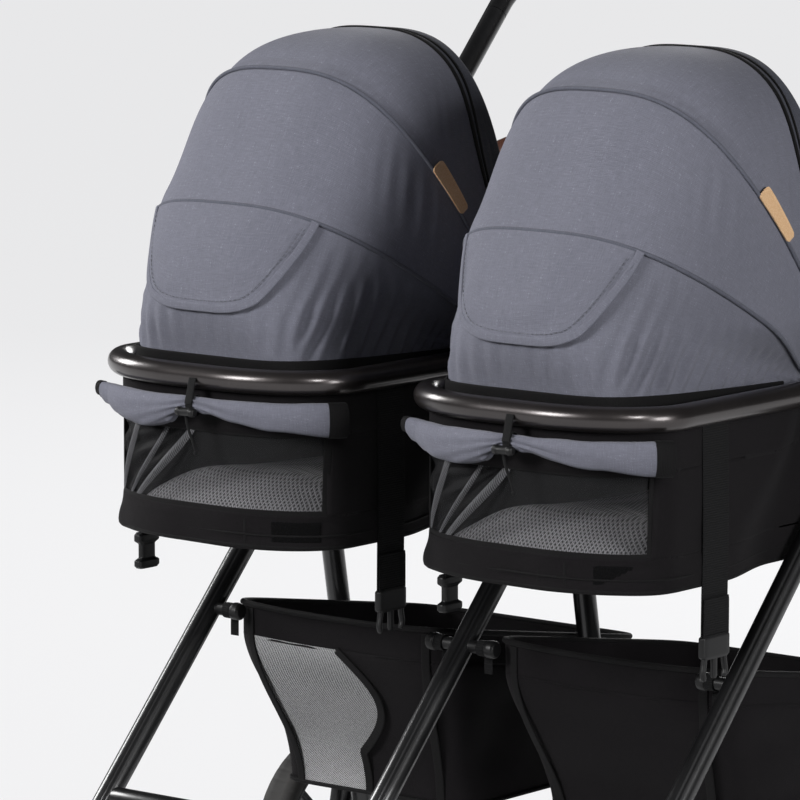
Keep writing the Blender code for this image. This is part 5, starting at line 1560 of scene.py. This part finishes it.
for tag, seat in SEATS.items():
    wall = seat + HOOP_HALF - TUB_INSET + 0.0020
    y = STRAP_Y
    line = at(wall + np.array([0.0, 0.0010, 0.0016, 0.0010, 0.0006]), y,
              np.array([-0.012, -0.06, -0.12, -0.17, -0.212]))
    strap = moulded_bar(f"strap_{tag}", line, band(0.040, 0.0017, 28, 0.25), (1, 0, 0), 60, 1.0)
    dress(strap, webbing, f"seat_{tag}", f"side_strap_{tag}")
    fold = moulded_bar(f"strap_fold_{tag}", [at(wall + 0.0030, y, z) for z in (-0.172, -0.190, -0.210)],
                       band(0.0395, 0.0017, 28, 0.25), (1, 0, 0), 20, 0.97)
    dress(fold, webbing, f"seat_{tag}")
    block = moulded_bar(f"plug_{tag}", [at(wall + 0.001, y, z) for z in (-0.206, -0.214, -0.228)],
                        band(0.041, 0.0085, 32, 0.35), (1, 0, 0), 24, 0.86)
    dress(block, black_plastic, f"seat_{tag}", f"side_strap_{tag}")
    for name, hand in (("far", -1), ("near", 1)):
        line = at(wall + 0.001, y + hand * np.array([0.0150, 0.0160, 0.0172, 0.0150]),
                  np.array([-0.226, -0.234, -0.241, -0.2478]))
        arm = moulded_bar(f"plug_arm_{name}_{tag}", line, band(0.0048, 0.0052, 16, 0.6), (1, 0, 0))
        dress(arm, black_plastic, f"seat_{tag}")
    guide = moulded_bar(f"plug_guide_{tag}", [at(wall + 0.001, y, z) for z in (-0.226, -0.236, -0.2470)],
                        band(0.0070, 0.0045, 16, 0.6), (1, 0, 0))
    dress(guide, black_plastic, f"seat_{tag}")
    wall = seat - (HOOP_HALF - TUB_INSET) - 0.0012
    y = SOCKET_Y
    web = moulded_bar(f"socket_web_{tag}", [at(wall, y, z) for z in (-0.142, -0.160, -0.182)],
                      band(0.0240, 0.0016, 24, 0.25), (-1, 0, 0), 20, 1.0)
    dress(web, webbing, f"seat_{tag}")
    where = np.linspace(0, 1, 48)
    wide = 1 - 0.34 * ease((where - 0.22) / 0.12) * ease((0.80 - where) / 0.10)
    wide *= 0.84 + 0.16 * ease(np.minimum(where, 1 - where) * 14)
    path = at(wall - 0.0040, y, -0.1765 - 0.0355 * where)
    socket = strand(f"socket_{tag}", path, band(0.0300, 0.0108, 36), (-1, 0, 0), wide)
    dress(socket, black_plastic, f"seat_{tag}", f"buckle_socket_{tag}")
print("straps and buckles ready")

# %% [markdown]
# ## Bumper bars
#
# A padded bar wrapped in brown leather crosses each seat. It is one thick round tube
# that narrows to a plain sleeve at both pivots. The leather is closed by a row of pale
# stitches along its underside, which is where the real seam hides.

# %% Bumper bars
BUMPER_Y, BUMPER_SLOPE, BUMPER_REACH = 0.352, math.radians(32), 0.335
BUMPER_R, BUMPER_END_R = 0.015, 0.006


def bumper_line():
    """(offset, out) of the bar: straight sides and two quarter ellipses."""
    root = HOOP_HALF - HUB_HALF - 0.0003 - BUMPER_END_R
    reach_x, reach_y = root - 0.020, 0.085
    bend = quarter(-(root - reach_x), BUMPER_REACH - reach_y, reach_x, reach_y, 180, 90)
    half = np.concatenate([[(-root, 0.0)], bend])
    return evenly(np.concatenate([half, half[::-1] * np.array([-1.0, 1.0])]), 300)


c, s = math.cos(BUMPER_SLOPE), math.sin(BUMPER_SLOPE)
flat = bumper_line()
slim = BUMPER_END_R / BUMPER_R
size = slim + (1 - slim) * ease((flat[:, 1] - 0.044) / 0.014)
for tag, seat in SEATS.items():
    path = at(seat + flat[:, 0], BUMPER_Y + flat[:, 1] * c, flat[:, 1] * s)
    padded = flat[:, 1] > 0.043
    bar = strand(f"bumper_{tag}", path[padded], ring(BUMPER_R, 36), (0, -s, c), size[padded])
    dress(bar, brown_leather, f"bumper_{tag}", f"bumper_bar_{tag}")
    core = strand(f"bumper_core_{tag}", path, ring(BUMPER_END_R), (0, -s, c))
    dress(core, black_plastic, f"bumper_{tag}")
    seam = path[flat[:, 1] > 0.062] - np.array([0, -s, c]) * (BUMPER_R - 0.0001)
    row = stitches(f"bumper_stitches_{tag}", seam, (0, s, -c), 0.0040, 0.0056, 0.0005)
    dress(row, pale_thread.material, f"bumper_{tag}")
print("bumper bars ready")

# %% [markdown]
# ## The frame's tubes
#
# The legs are drawn aluminium tubes with four shallow grooves along them, and the groove
# nearest the light shows as a thin silver line. The outline is a circle whose radius
# dips four times round. The other tubes are plain circles. Each is carried along its own
# straight line between the joints, with its tips eased.

# %% Leg tubes
FRONT_SLOPE = math.radians(47)
DOWN_FRONT = np.array([0.0, -math.cos(FRONT_SLOPE), -math.sin(FRONT_SLOPE)])
FOLD_HUB_R, CENTRE_LEG, ROD_AT = 0.030, 0.470, 0.243
FRONT_WHEEL_R, REAR_WHEEL_R = 0.080, 0.110
HOUSING_BASE = 2 * FRONT_WHEEL_R + 0.0143 - HOOP_HEIGHT
HOUSING_MID = HOUSING_BASE + 0.023
OUTER_LEG = (FOLD_Z - HOUSING_MID) / math.sin(FRONT_SLOPE)
CASTER_Y = HUB_Y - (FOLD_Z - HOUSING_MID) / math.tan(FRONT_SLOPE) - 1.5 * LEG_R
REAR_SLOPE = math.radians(80)
REAR_LEG = (FOLD_Z - (REAR_WHEEL_R - HOOP_HEIGHT)) / math.sin(REAR_SLOPE)
REAR_AXLE_Y = HUB_Y + REAR_LEG * math.cos(REAR_SLOPE)
REAR_AXLE_Z = REAR_WHEEL_R - HOOP_HEIGHT
FRONT_WHEEL_HALF, REAR_WHEEL_HALF, TYRE_DEEP = 0.018, 0.019, 0.019
FORK_SIDE, FORK_PLATE, WHEEL_GAP = 0.002, 0.005, 0.002
REAR_WHEEL_IN = FRAME_X + FRONT_WHEEL_HALF + FORK_SIDE + FORK_PLATE + WHEEL_GAP
ARM_X = FRAME_X + 0.049


def grooved(radius, sides=72, deep=0.0008):
    """A circle with four narrow dips: radius less deep times a bell round each quarter turn."""
    angle = np.arange(sides) * 2 * np.pi / sides
    off = np.abs((angle + np.pi / 4) % (np.pi / 2) - np.pi / 4)
    out = radius - deep * np.exp(-(off / 0.11) ** 2)
    return np.stack([out * np.cos(angle + 0.5), out * np.sin(angle + 0.5)], axis=1)


ROD_END = np.array([(0.0305, 0.0062), (0.0312, 0.0085), (0.0345, 0.0089), (0.0395, 0.0085),
                    (0.0415, 0.0064), (0.0420, 0.0001)])
HOUSING = np.array([(-0.0230, 0.0001), (-0.0230, 0.0190), (-0.0205, 0.0215), (-0.006, 0.0220),
                    (-0.0052, 0.0212), (-0.0035, 0.0212), (-0.0027, 0.0220), (0.0165, 0.0220),
                    (0.0215, 0.0190), (0.0230, 0.0120), (0.0232, 0.0001)])
LEGS = {"left": (-FRAME_X, OUTER_LEG),
        "centre": (0.0, CENTRE_LEG - LEG_R - 0.0003),
        "right": (FRAME_X, OUTER_LEG)}
for tag, (x, long) in LEGS.items():
    top = at(x, HUB_Y, FOLD_Z)
    leg = tube_between(f"leg_tube_{tag}", top + DOWN_FRONT * (FOLD_HUB_R + 0.0003), top + DOWN_FRONT * long,
                       LEG_R, outline=grooved(LEG_R))
    dress(leg, black_tube, "chassis", f"front_leg_{tag}")
    profile, axis = mirrored(ROD_END), (1, 0, 0)
    if x:
        profile, axis = np.concatenate([[(-0.004, 0.0001), (-0.004, 0.0062)], ROD_END]), (-np.sign(x), 0, 0)
    rod = knob(f"cross_rod_{tag}", profile, 0.0009, top + DOWN_FRONT * ROD_AT, 48, axis)
    dress(rod, black_plastic, "chassis", f"front_leg_{tag}")
    if x:
        middle = at(x, CASTER_Y, HOUSING_MID)
        housing = knob(f"caster_housing_{tag}", HOUSING, 0.0010, middle, 56, (0, 0, 1))
        dress(housing, black_plastic, "chassis", f"front_leg_{tag}")

y, z = HUB_Y - CENTRE_LEG * math.cos(FRONT_SLOPE), FOLD_Z - CENTRE_LEG * math.sin(FRONT_SLOPE)
span = FRAME_X - LEG_R - 0.0003
cross = tube_between("cross_tube", at(-span, y, z), at(span, y, z), LEG_R, 40)
dress(cross, black_tube, "chassis", "front_cross_tube")
print(f"outer leg {OUTER_LEG:.3f} m, centre leg {CENTRE_LEG:.3f} m")

# %% [markdown]
# ## Hubs, forks and brake
#
# These mouldings have forks, saddles and bores that the solids already hold exactly, so
# they are the solids' own shapes with rounded edges. Round caps with a ring groove cover
# the outer faces of the fold hubs, as they hide the pins on the real one.

# %% Refined mouldings
MOULDINGS = [("fold_hub_left", "chassis"), ("fold_hub_centre", "chassis"), ("fold_hub_right", "chassis"),
             ("caster_fork_left", "caster_left"), ("caster_fork_right", "caster_right"),
             ("brake_block", "rear_frame"), ("brake_pedal", "brake_pedal"), ("fold_button", "fold_button")]
for node, body in MOULDINGS:
    refined(node, black_plastic, body)
for tag in ("left", "centre", "right"):
    refined(f"rear_leg_{tag}", black_tube, "rear_frame", 0.0005)
for tag in ("left", "right"):
    refined(f"handle_arm_{tag}", black_tube, "handle", 0.0010)
    hand = -1 if tag == "left" else 1
    face = at(hand * (ARM_X + LEG_R + 0.0005), HUB_Y, FOLD_Z)
    cap = np.array([(0.0, 0.0265), (0.0012, 0.0258), (0.0016, 0.0215), (0.0006, 0.0208), (0.0006, 0.0195),
                    (0.0018, 0.0188), (0.0024, 0.0110), (0.0026, 0.0001)])
    cover = knob(f"hub_cover_{tag}", cap, 0.0006, face, 64, (hand, 0, 0))
    dress(cover, black_plastic, "handle")
tip, shoulder = REAR_WHEEL_IN + 2 * REAR_WHEEL_HALF, FRAME_X + LEG_R
half_axle = np.array([(shoulder, 0.0105), (shoulder + 0.0008, 0.0050), (tip - 0.0008, 0.0050), (tip, 0.0001)])
axle = knob("axle_tube", mirrored(half_axle), 0.0008, at(0.0, REAR_AXLE_Y, REAR_AXLE_Z), 40)
dress(axle, black_tube, "rear_frame", "rear_axle")
print("mouldings:", len(MOULDINGS))

# %% [markdown]
# ## Wheels
#
# A tyre is a closed outline spun round the axle. Its tread is a small change of the
# radius that depends on the angle and on how far across the tyre a point is: slanting
# grooves that meet in a V, and one groove round the middle. The rim is a barrel, a hub
# and five pairs of spokes, each a rounded bar carried out along a gentle curve.

# %% Tyres and rims
def together(name, parts):
    """Several meshes made one, with the parts' own UVs kept."""
    mesh = bmesh.new()
    for part in parts:
        mesh.from_mesh(part.data)
    data = bpy.data.meshes.new(name)
    mesh.to_mesh(data)
    mesh.free()
    for part in parts:
        bpy.data.objects.remove(part, do_unlink=True)
    made = bpy.data.objects.new(name, data)
    bpy.context.scene.collection.objects.link(made)
    return made


def tyre_grid(centre, radius, half):
    """A squared ellipse spun round the axle, less V grooves near its outer radius."""
    angle = np.arange(36) * 2 * np.pi / 36
    c, s = np.cos(angle), np.sin(angle)
    profile = np.stack([half * np.sign(c) * np.abs(c) ** 0.62,
                        radius - TYRE_DEEP / 2 * (1 - np.sign(s) * np.abs(s) ** 0.75)], axis=1)

    def tread(along, out, turn):
        outer = ease((out - (radius - 0.0050)) / 0.0035)
        slant = np.abs(np.sin(turn * 26 + np.abs(along) / half * 1.9))
        ring_groove = np.exp(-(along / 0.0016) ** 2)
        return -0.0013 * outer * np.maximum(1 - ease(slant / 0.34), ring_groove)

    return turned(profile, centre, 416, (1, 0, 0), tread)


def rim_parts(name, centre, radius, half):
    """Barrel, hub and five pairs of spokes for a wheel of that radius."""
    edge = radius - TYRE_DEEP + 0.0006
    inside = [(half * 0.5, edge - 0.0060), (half * 0.78, edge - 0.0035), (half * 0.82, edge + 0.0010)]
    barrel = np.concatenate([mirrored(np.array(inside)),
                             [(half * 0.6, edge + 0.0004), (-half * 0.6, edge + 0.0004)]])
    barrel = turned(eased(barrel, 0.0010, loop=True), centre, 96)
    parts = [surface(name + "_barrel", barrel, loop=True, tube=True)]
    hub = mirrored(np.array([(half - 0.004, 0.0160), (half - 0.001, 0.0130),
                             (half - 0.0002, 0.0060), (half - 0.001, 0.0001)]))
    parts.append(knob(name + "_hub", hub, 0.0012, centre))
    reach = edge - 0.0050
    spoke = band(0.0085 if radius > 0.1 else 0.0070, half * 0.75, 20, 0.7)
    for k in range(5):
        for hand in (-1, 1):
            turn = 2 * np.pi * k / 5
            root, bend, end = turn + hand * 0.42, turn + hand * 0.20, turn + hand * 0.16
            line = [np.asarray(centre) + np.array([0.0, r * math.cos(a), r * math.sin(a)])
                    for r, a in ((0.0135, root), (0.45 * reach, bend), (reach, end))]
            parts.append(moulded_bar(f"{name}_spoke_{k}_{hand}", line, spoke, (1, 0, 0), 24, 1.0))
    return together(name, parts)


FRONT_SPOT = (FRAME_X, CASTER_Y + 0.035, FRONT_WHEEL_R - HOOP_HEIGHT)
REAR_SPOT = (REAR_WHEEL_IN + REAR_WHEEL_HALF, REAR_AXLE_Y, REAR_AXLE_Z)
for hand, tag in ((-1, "left"), (1, "right")):
    for kind, (x, y, z), radius, half in (("front", FRONT_SPOT, FRONT_WHEEL_R, FRONT_WHEEL_HALF),
                                          ("rear", REAR_SPOT, REAR_WHEEL_R, REAR_WHEEL_HALF)):
        centre = at(hand * x, y, z)
        body = f"{kind}_wheel_{tag}"
        tyre = surface(f"{kind}_tyre_{tag}", tyre_grid(centre, radius, half), loop=True, tube=True)
        dress(tyre, tyre_rubber, body, f"{body}_tyre")
        wheel = rim_parts(f"{kind}_rim_{tag}", centre, radius, half)
        dress(wheel, rim_plastic, body, f"{body}_rim")
print("wheels: 4")

# %% [markdown]
# ## The push handle
#
# The handle is out of the picture, so its shape is a plain one for its kind: two arms,
# a bar with two bends, and a long grip in the same brown leather as the bumper bars. The
# grip swells a little towards its ends and is closed by a row of stitches underneath.

# %% Handle bar, grip and button
HANDLE_SLOPE = math.radians(47)
HANDLE_LONG, BEND, GRIP_HALF = 0.595, 0.060, 0.270
bend = quarter(-(ARM_X - BEND), HANDLE_LONG - BEND, BEND, BEND, 180, 90, 40)
half_bar = np.concatenate([[(-ARM_X, HANDLE_LONG - BEND - 0.012)], bend])
bar = evenly(np.concatenate([half_bar, half_bar[::-1] * np.array([-1.0, 1.0])]), 260)
c, s = math.cos(HANDLE_SLOPE), math.sin(HANDLE_SLOPE)
path = at(bar[:, 0], HUB_Y + bar[:, 1] * c, FOLD_Z + bar[:, 1] * s)
tube = strand("handle_tube", path, ring(LEG_R, 32), (0, -s, c))
dress(tube, black_tube, "handle", "handle_bar")
middle = at(0.0, HUB_Y + HANDLE_LONG * c, FOLD_Z + HANDLE_LONG * s)
along = np.linspace(-GRIP_HALF, GRIP_HALF, 90)
from_end = GRIP_HALF - np.abs(along)
swell = 0.0168 + 0.0007 * np.abs(along / GRIP_HALF) ** 3 - 0.0028 * (1 - ease(from_end / 0.004))
grip = surface("grip_leather", turned(np.stack([along, swell], axis=1), middle, 48), tube=True, caps=True)
dress(grip, brown_leather, "handle", "handle_grip")
collar = np.array([(0.0, 0.0118), (0.0, 0.0172), (0.0015, 0.0180), (0.0065, 0.0180),
                   (0.0080, 0.0172), (0.0080, 0.0118)])
for name, hand in (("left", -1), ("right", 1)):
    spot = middle + np.array([hand * (GRIP_HALF - 0.008), 0, 0])
    end = knob(f"grip_collar_{name}", collar, 0.0008, spot, 48, (hand, 0, 0))
    dress(end, black_plastic, "handle")
seam = middle + np.stack([along, np.zeros_like(along), -swell - 0.0001], axis=1)
for name, part in (("left", along < -0.014), ("right", along > 0.014)):
    row = stitches(f"grip_stitches_{name}", seam[part], (0, 0, -1), 0.0040, 0.0056, 0.0005)
    dress(row, pale_thread.material, "handle")
collar = np.array([(-0.0195, 0.0100), (-0.0182, 0.0100), (-0.0172, 0.0112), (-0.0160, 0.0128),
                   (-0.0150, 0.0128), (-0.0150, 0.0100)])
guard = knob("button_guard", collar, 0.0006, middle, 40, (0, 0, 1))
dress(guard, black_plastic, "handle")
print(f"grip length {2000 * GRIP_HALF:.0f} mm")

# %% [markdown]
# ## Baskets
#
# Two soft baskets hang behind the cross rods. A basket is one shell: a rounded rectangle
# that shrinks on its way down, more at its front, with a floor that sags. The rim is a
# wide black band, the walls are black cloth, and the front of the left one is a
# sheer mesh between tapes, as in the picture.

# %% The basket function
ROD_Y = HUB_Y - ROD_AT * math.cos(FRONT_SLOPE)
BASKET_IN, BASKET_OUT = 0.025, FRAME_X - 0.015
BASKET_FRONT, BASKET_BACK = ROD_Y + 0.0088, 0.500
BASKET_RIM, RIM_FALL, BASKET_FLOOR = 0.254, 0.052, 0.440
BASKET_BAND = 0.165
FRONT_HALF = 0.098


def basket_ring(side, level, drawn=1.0, count=721):
    """A superellipse in plan, from the middle of the back round; its taper eases in below the rim."""
    taper = 0.022 * ease((level - 0.14) / 0.86)
    start, end = BASKET_FRONT + 2.4 * taper, BASKET_BACK - taper
    half_x, half_y = (BASKET_OUT - BASKET_IN) / 2 - taper, (end - start) / 2
    angle = np.linspace(np.pi / 2, np.pi / 2 - 2 * np.pi, 3000)
    c, s = np.cos(angle), np.sin(angle)
    deep = drawn if drawn > 0.5 else 0.5 + drawn / 2
    x = half_x * np.sign(c) * np.abs(c) ** (2 / 9) * drawn
    y = (start + end) / 2 + half_y * np.sign(s) * np.abs(s) ** (2 / 9) * deep
    share = (y - start) / (end - start)
    rim = -(BASKET_RIM + RIM_FALL * share)
    z = rim + (-BASKET_FLOOR - rim) * level
    z = z - 0.0045 * np.cos(np.pi / 2 * x / half_x) * (1 - level) * (share < 0.5)
    line = np.stack([side * (BASKET_IN + BASKET_OUT) / 2 + x, y, z], axis=1)
    line[-1] = line[0]
    return evenly(line, count)


def basket_wall(side, level, share, lift=0.0):
    """Rows of levels and columns of shares round the basket, from −½ at the back to ½ again."""
    grid = along_rings(np.stack([basket_ring(side, float(one)) for one in level]), share)
    ahead = np.gradient(grid, axis=1)
    out = unit(np.stack([-ahead[..., 1], ahead[..., 0], np.zeros(ahead.shape[:2])], axis=-1))
    centre = np.array([side * (BASKET_IN + BASKET_OUT) / 2, (BASKET_FRONT + BASKET_BACK) / 2])
    facing = np.sign(np.sum(out[..., :2] * (grid[..., :2] - centre), axis=-1, keepdims=True))
    return grid + out * facing * np.asarray(lift)[..., None]


def mesh_edge(level):
    """Where the left basket's mesh ends: it swings out between the rim and the floor."""
    return -0.040 * np.sin(np.pi * np.clip((level - BASKET_BAND) / 0.60, 0, 1))[:, None]


print(f"basket rim is {np.linalg.norm(np.diff(basket_ring(1, 0.0), axis=0), axis=1).sum():.3f} m round")

# %% Baskets
MIDDLE = 0.0

for number, (tag, side) in enumerate((("left", -1), ("right", 1))):
    share = np.linspace(-0.5, 0.5, 301)[:-1]
    level = np.linspace(0.0, 0.18, 8)
    hollow = ripples(basket_wall(side, level, share), 0.09, 200 + number) ** 2
    grid = basket_wall(side, level, share, -0.0030 * hollow * ease(level * 12)[:, None])
    rim = surface(f"basket_rim_{tag}", place_local(MIDDLE, grid), tube=True)
    dress(thicken(rim, 0.0026), oxford, "chassis", f"basket_{tag}")
    level = np.linspace(BASKET_BAND, 1.0, 26)
    loose = held_edges(level, BASKET_BAND, 1.0, 0.3)
    for name, start, end in (("far", -0.5, -FRONT_HALF), ("near", FRONT_HALF, 0.5)):
        part = np.linspace(start, end, 110)
        folds = 0.0055 * ripples(basket_wall(side, level, part), 0.10, 210 + number) - 0.0050
        grid = basket_wall(side, level, part, folds * loose)
        wall = surface(f"basket_wall_{name}_{tag}", place_local(MIDDLE, grid))
        dress(thicken(wall, 0.0018), oxford, "chassis", f"basket_{tag}")
    edge = mesh_edge(level)
    fronts = {"cloth": np.linspace(-FRONT_HALF, FRONT_HALF, 150)}
    if side < 0:
        fronts = {"mesh": edge + (FRONT_HALF - edge) * np.linspace(0, 1, 90),
                  "cloth": -FRONT_HALF + (edge + FRONT_HALF) * np.linspace(0, 1, 70)}
    for name, part in fronts.items():
        folds = 0.0050 * ripples(basket_wall(side, level, part), 0.10, 220 + number) - 0.0045
        grid = place_local(MIDDLE, basket_wall(side, level, part, folds * loose))
        front = surface(f"basket_front_{name}_{tag}", grid)
        if name == "mesh":
            dress(front, basket_mesh, "chassis", f"basket_{tag}")
            declare_cloth(front, grid)
        else:
            dress(thicken(front, 0.0018), oxford, "chassis", f"basket_{tag}")
    drawn = [0.995, 0.93, 0.8, 0.6, 0.4, 0.2, 0.0]
    floor_rings = np.stack([basket_ring(side, 1.0, d, 301)[:-1] for d in drawn])
    out = np.array(drawn)[:, None]
    uneven = 0.0015 * ripples(floor_rings, 0.12, 230 + number) * (1 - out)
    floor_rings[..., 2] -= 0.006 * (1 - out ** 2) + uneven
    base = surface(f"basket_floor_{tag}", place_local(MIDDLE, floor_rings), tube=True)
    dress(thicken(base, 0.0018), oxford, "chassis", f"basket_{tag}")
    for name, level, radius, sides in (("piping", 1.0, 0.0022, 10), ("lip", 0.0, 0.0030, 12)):
        line = place_local(MIDDLE, basket_ring(side, level, 1.0, 361)[:-1])
        cord = closed_strand(f"basket_{name}_{tag}", line, ring(radius, sides), (0, 0, 1))
        dress(cord, binding, "chassis")
    down = np.linspace(0.02, 0.99, 60)
    tapes = {"far": np.full((60, 1), -FRONT_HALF), "near": np.full((60, 1), FRONT_HALF)}
    if side < 0:
        tapes["mesh"] = mesh_edge(down)
    for name, edge in tapes.items():
        rows = basket_wall(side, down, edge + np.array([-0.002, 0.0, 0.002]), np.full((60, 3), 0.0006))
        rows = rows[down > 0.16] if name == "mesh" else rows
        out = unit(np.cross(rows[:, 2] - rows[:, 0], rows[0, 1] - rows[-1, 1]))
        line = place_local(MIDDLE, rows[:, 1])
        tape = strand(f"basket_tape_{name}_{tag}", line, band(0.0090, 0.0018), out)
        dress(tape, binding, "chassis")

# %% [markdown]
# ## Loops that hold the baskets
#
# Each basket hangs from the cross rods by loops of webbing: a band carried round the rod
# and closed on itself, with a short tab down to the rim.

# %% Basket loops
ROD_Z = FOLD_Z - ROD_AT * math.sin(FRONT_SLOPE)
FROM_LEG = 0.026
LOOPS = {"left_outer": -FRAME_X + FROM_LEG, "left_inner": -FROM_LEG,
         "right_inner": FROM_LEG, "right_outer": FRAME_X - FROM_LEG}
for tag, x in LOOPS.items():
    turn = np.linspace(0, 2 * np.pi, 41)[:-1]
    loop_path = at(x, ROD_Y + 0.0074 * np.cos(turn), ROD_Z + 0.0074 * np.sin(turn))
    hold = closed_strand(f"basket_loop_{tag}", loop_path, band(0.0010, 0.0100, 16), (1, 0, 0))
    dress(hold, webbing, "chassis")
    line = at(x, ROD_Y + np.array([0.0082, 0.0072, 0.0070]), ROD_Z - np.array([0.0, 0.010, 0.026]))
    tab = moulded_bar(f"basket_tab_{tag}", line, band(0.0100, 0.0012, 16, 0.3), (0, -1, 0), 16, 1.0)
    dress(tab, webbing, "chassis")
print("basket loops:", len(LOOPS))

# %% [markdown]
# ## Light and floor
#
# The stroller stands on a plain pale floor. Its strongest light is soft and comes from the
# front and the left, and a weaker one from the low right opens the shade on that side.
# The places of the lamps were found from the bright spots on the hoops: a spot lies where
# the tube's normal is halfway between the camera and a lamp. The floor is wide, because a
# long lens looks far along it, and it is matt with a very faint unevenness.

# %% Light and floor
def lamp(name, azimuth, rise, distance, size, watts, gloss_only=False):
    """A square area lamp on a sphere round the seats, aimed at them; some only make highlights."""
    data = bpy.data.lights.new(name, "AREA")
    data.size = size
    data.energy = watts
    made = bpy.data.objects.new(name, data)
    bpy.context.scene.collection.objects.link(made)
    a, e = math.radians(azimuth), math.radians(rise)
    way = Vector((math.sin(a) * math.cos(e), -math.cos(a) * math.cos(e), math.sin(e)))
    made.location = Vector(AIM) + way * distance
    made.rotation_euler = (-way).to_track_quat("-Z", "Y").to_euler()
    made.visible_diffuse = not gloss_only
    return made


lamp("key light", -22, 25, 5.0, 1.5, 215)
lamp("left light", -86, 20, 5.0, 1.4, 125)
lamp("back light", 205, 10, 5.0, 1.6, 70)
lamp("right light", 80, 12, 4.5, 1.6, 130)
lamp("side highlight", 51, 31, 4.0, 0.6, 60, gloss_only=True)
world = bpy.data.worlds.new("soft studio")
world.use_nodes = True
sky = world.node_tree.nodes["Background"]
sky.inputs["Color"].default_value = (0.95, 0.97, 1.0, 1.0)
sky.inputs["Strength"].default_value = 0.035
bpy.context.scene.world = world
bpy.context.scene.view_settings.view_transform = "Standard"

floor_paint = Finish("floor paint", roughness=0.9)
haze = floor_paint.noise(floor_paint.place(), 1.3, 3.0)
floor_paint.feed("Base Color", floor_paint.mixed(haze, paint(60, 60, 61), paint(65, 65, 65)))
floor_paint.feed("Emission Color", (0.80, 0.80, 0.81, 1.0))
floor_paint.feed("Emission Strength", 1.00)
u, v = np.meshgrid(np.linspace(-30, 30, 5), np.linspace(-30, 30, 5), indexing="ij")
floor = surface("floor", np.stack([u, v, np.zeros_like(u)], axis=-1))
floor.data.materials.append(floor_paint.material)
floor.visible_diffuse = False
floor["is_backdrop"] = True

# %% [markdown]
# ## Close the scene
#
# The dressed stroller has to stay the size of its CAD model, so both boxes are written down side by side.

# %% Sizes
sizes = {"cad": [[float(v) for v in corner] for corner in cad_box],
         "dressed": [[float(v) for v in corner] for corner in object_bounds()]}
for name, (low, high) in sizes.items():
    print(name, [round(b - a, 4) for a, b in zip(low, high)])
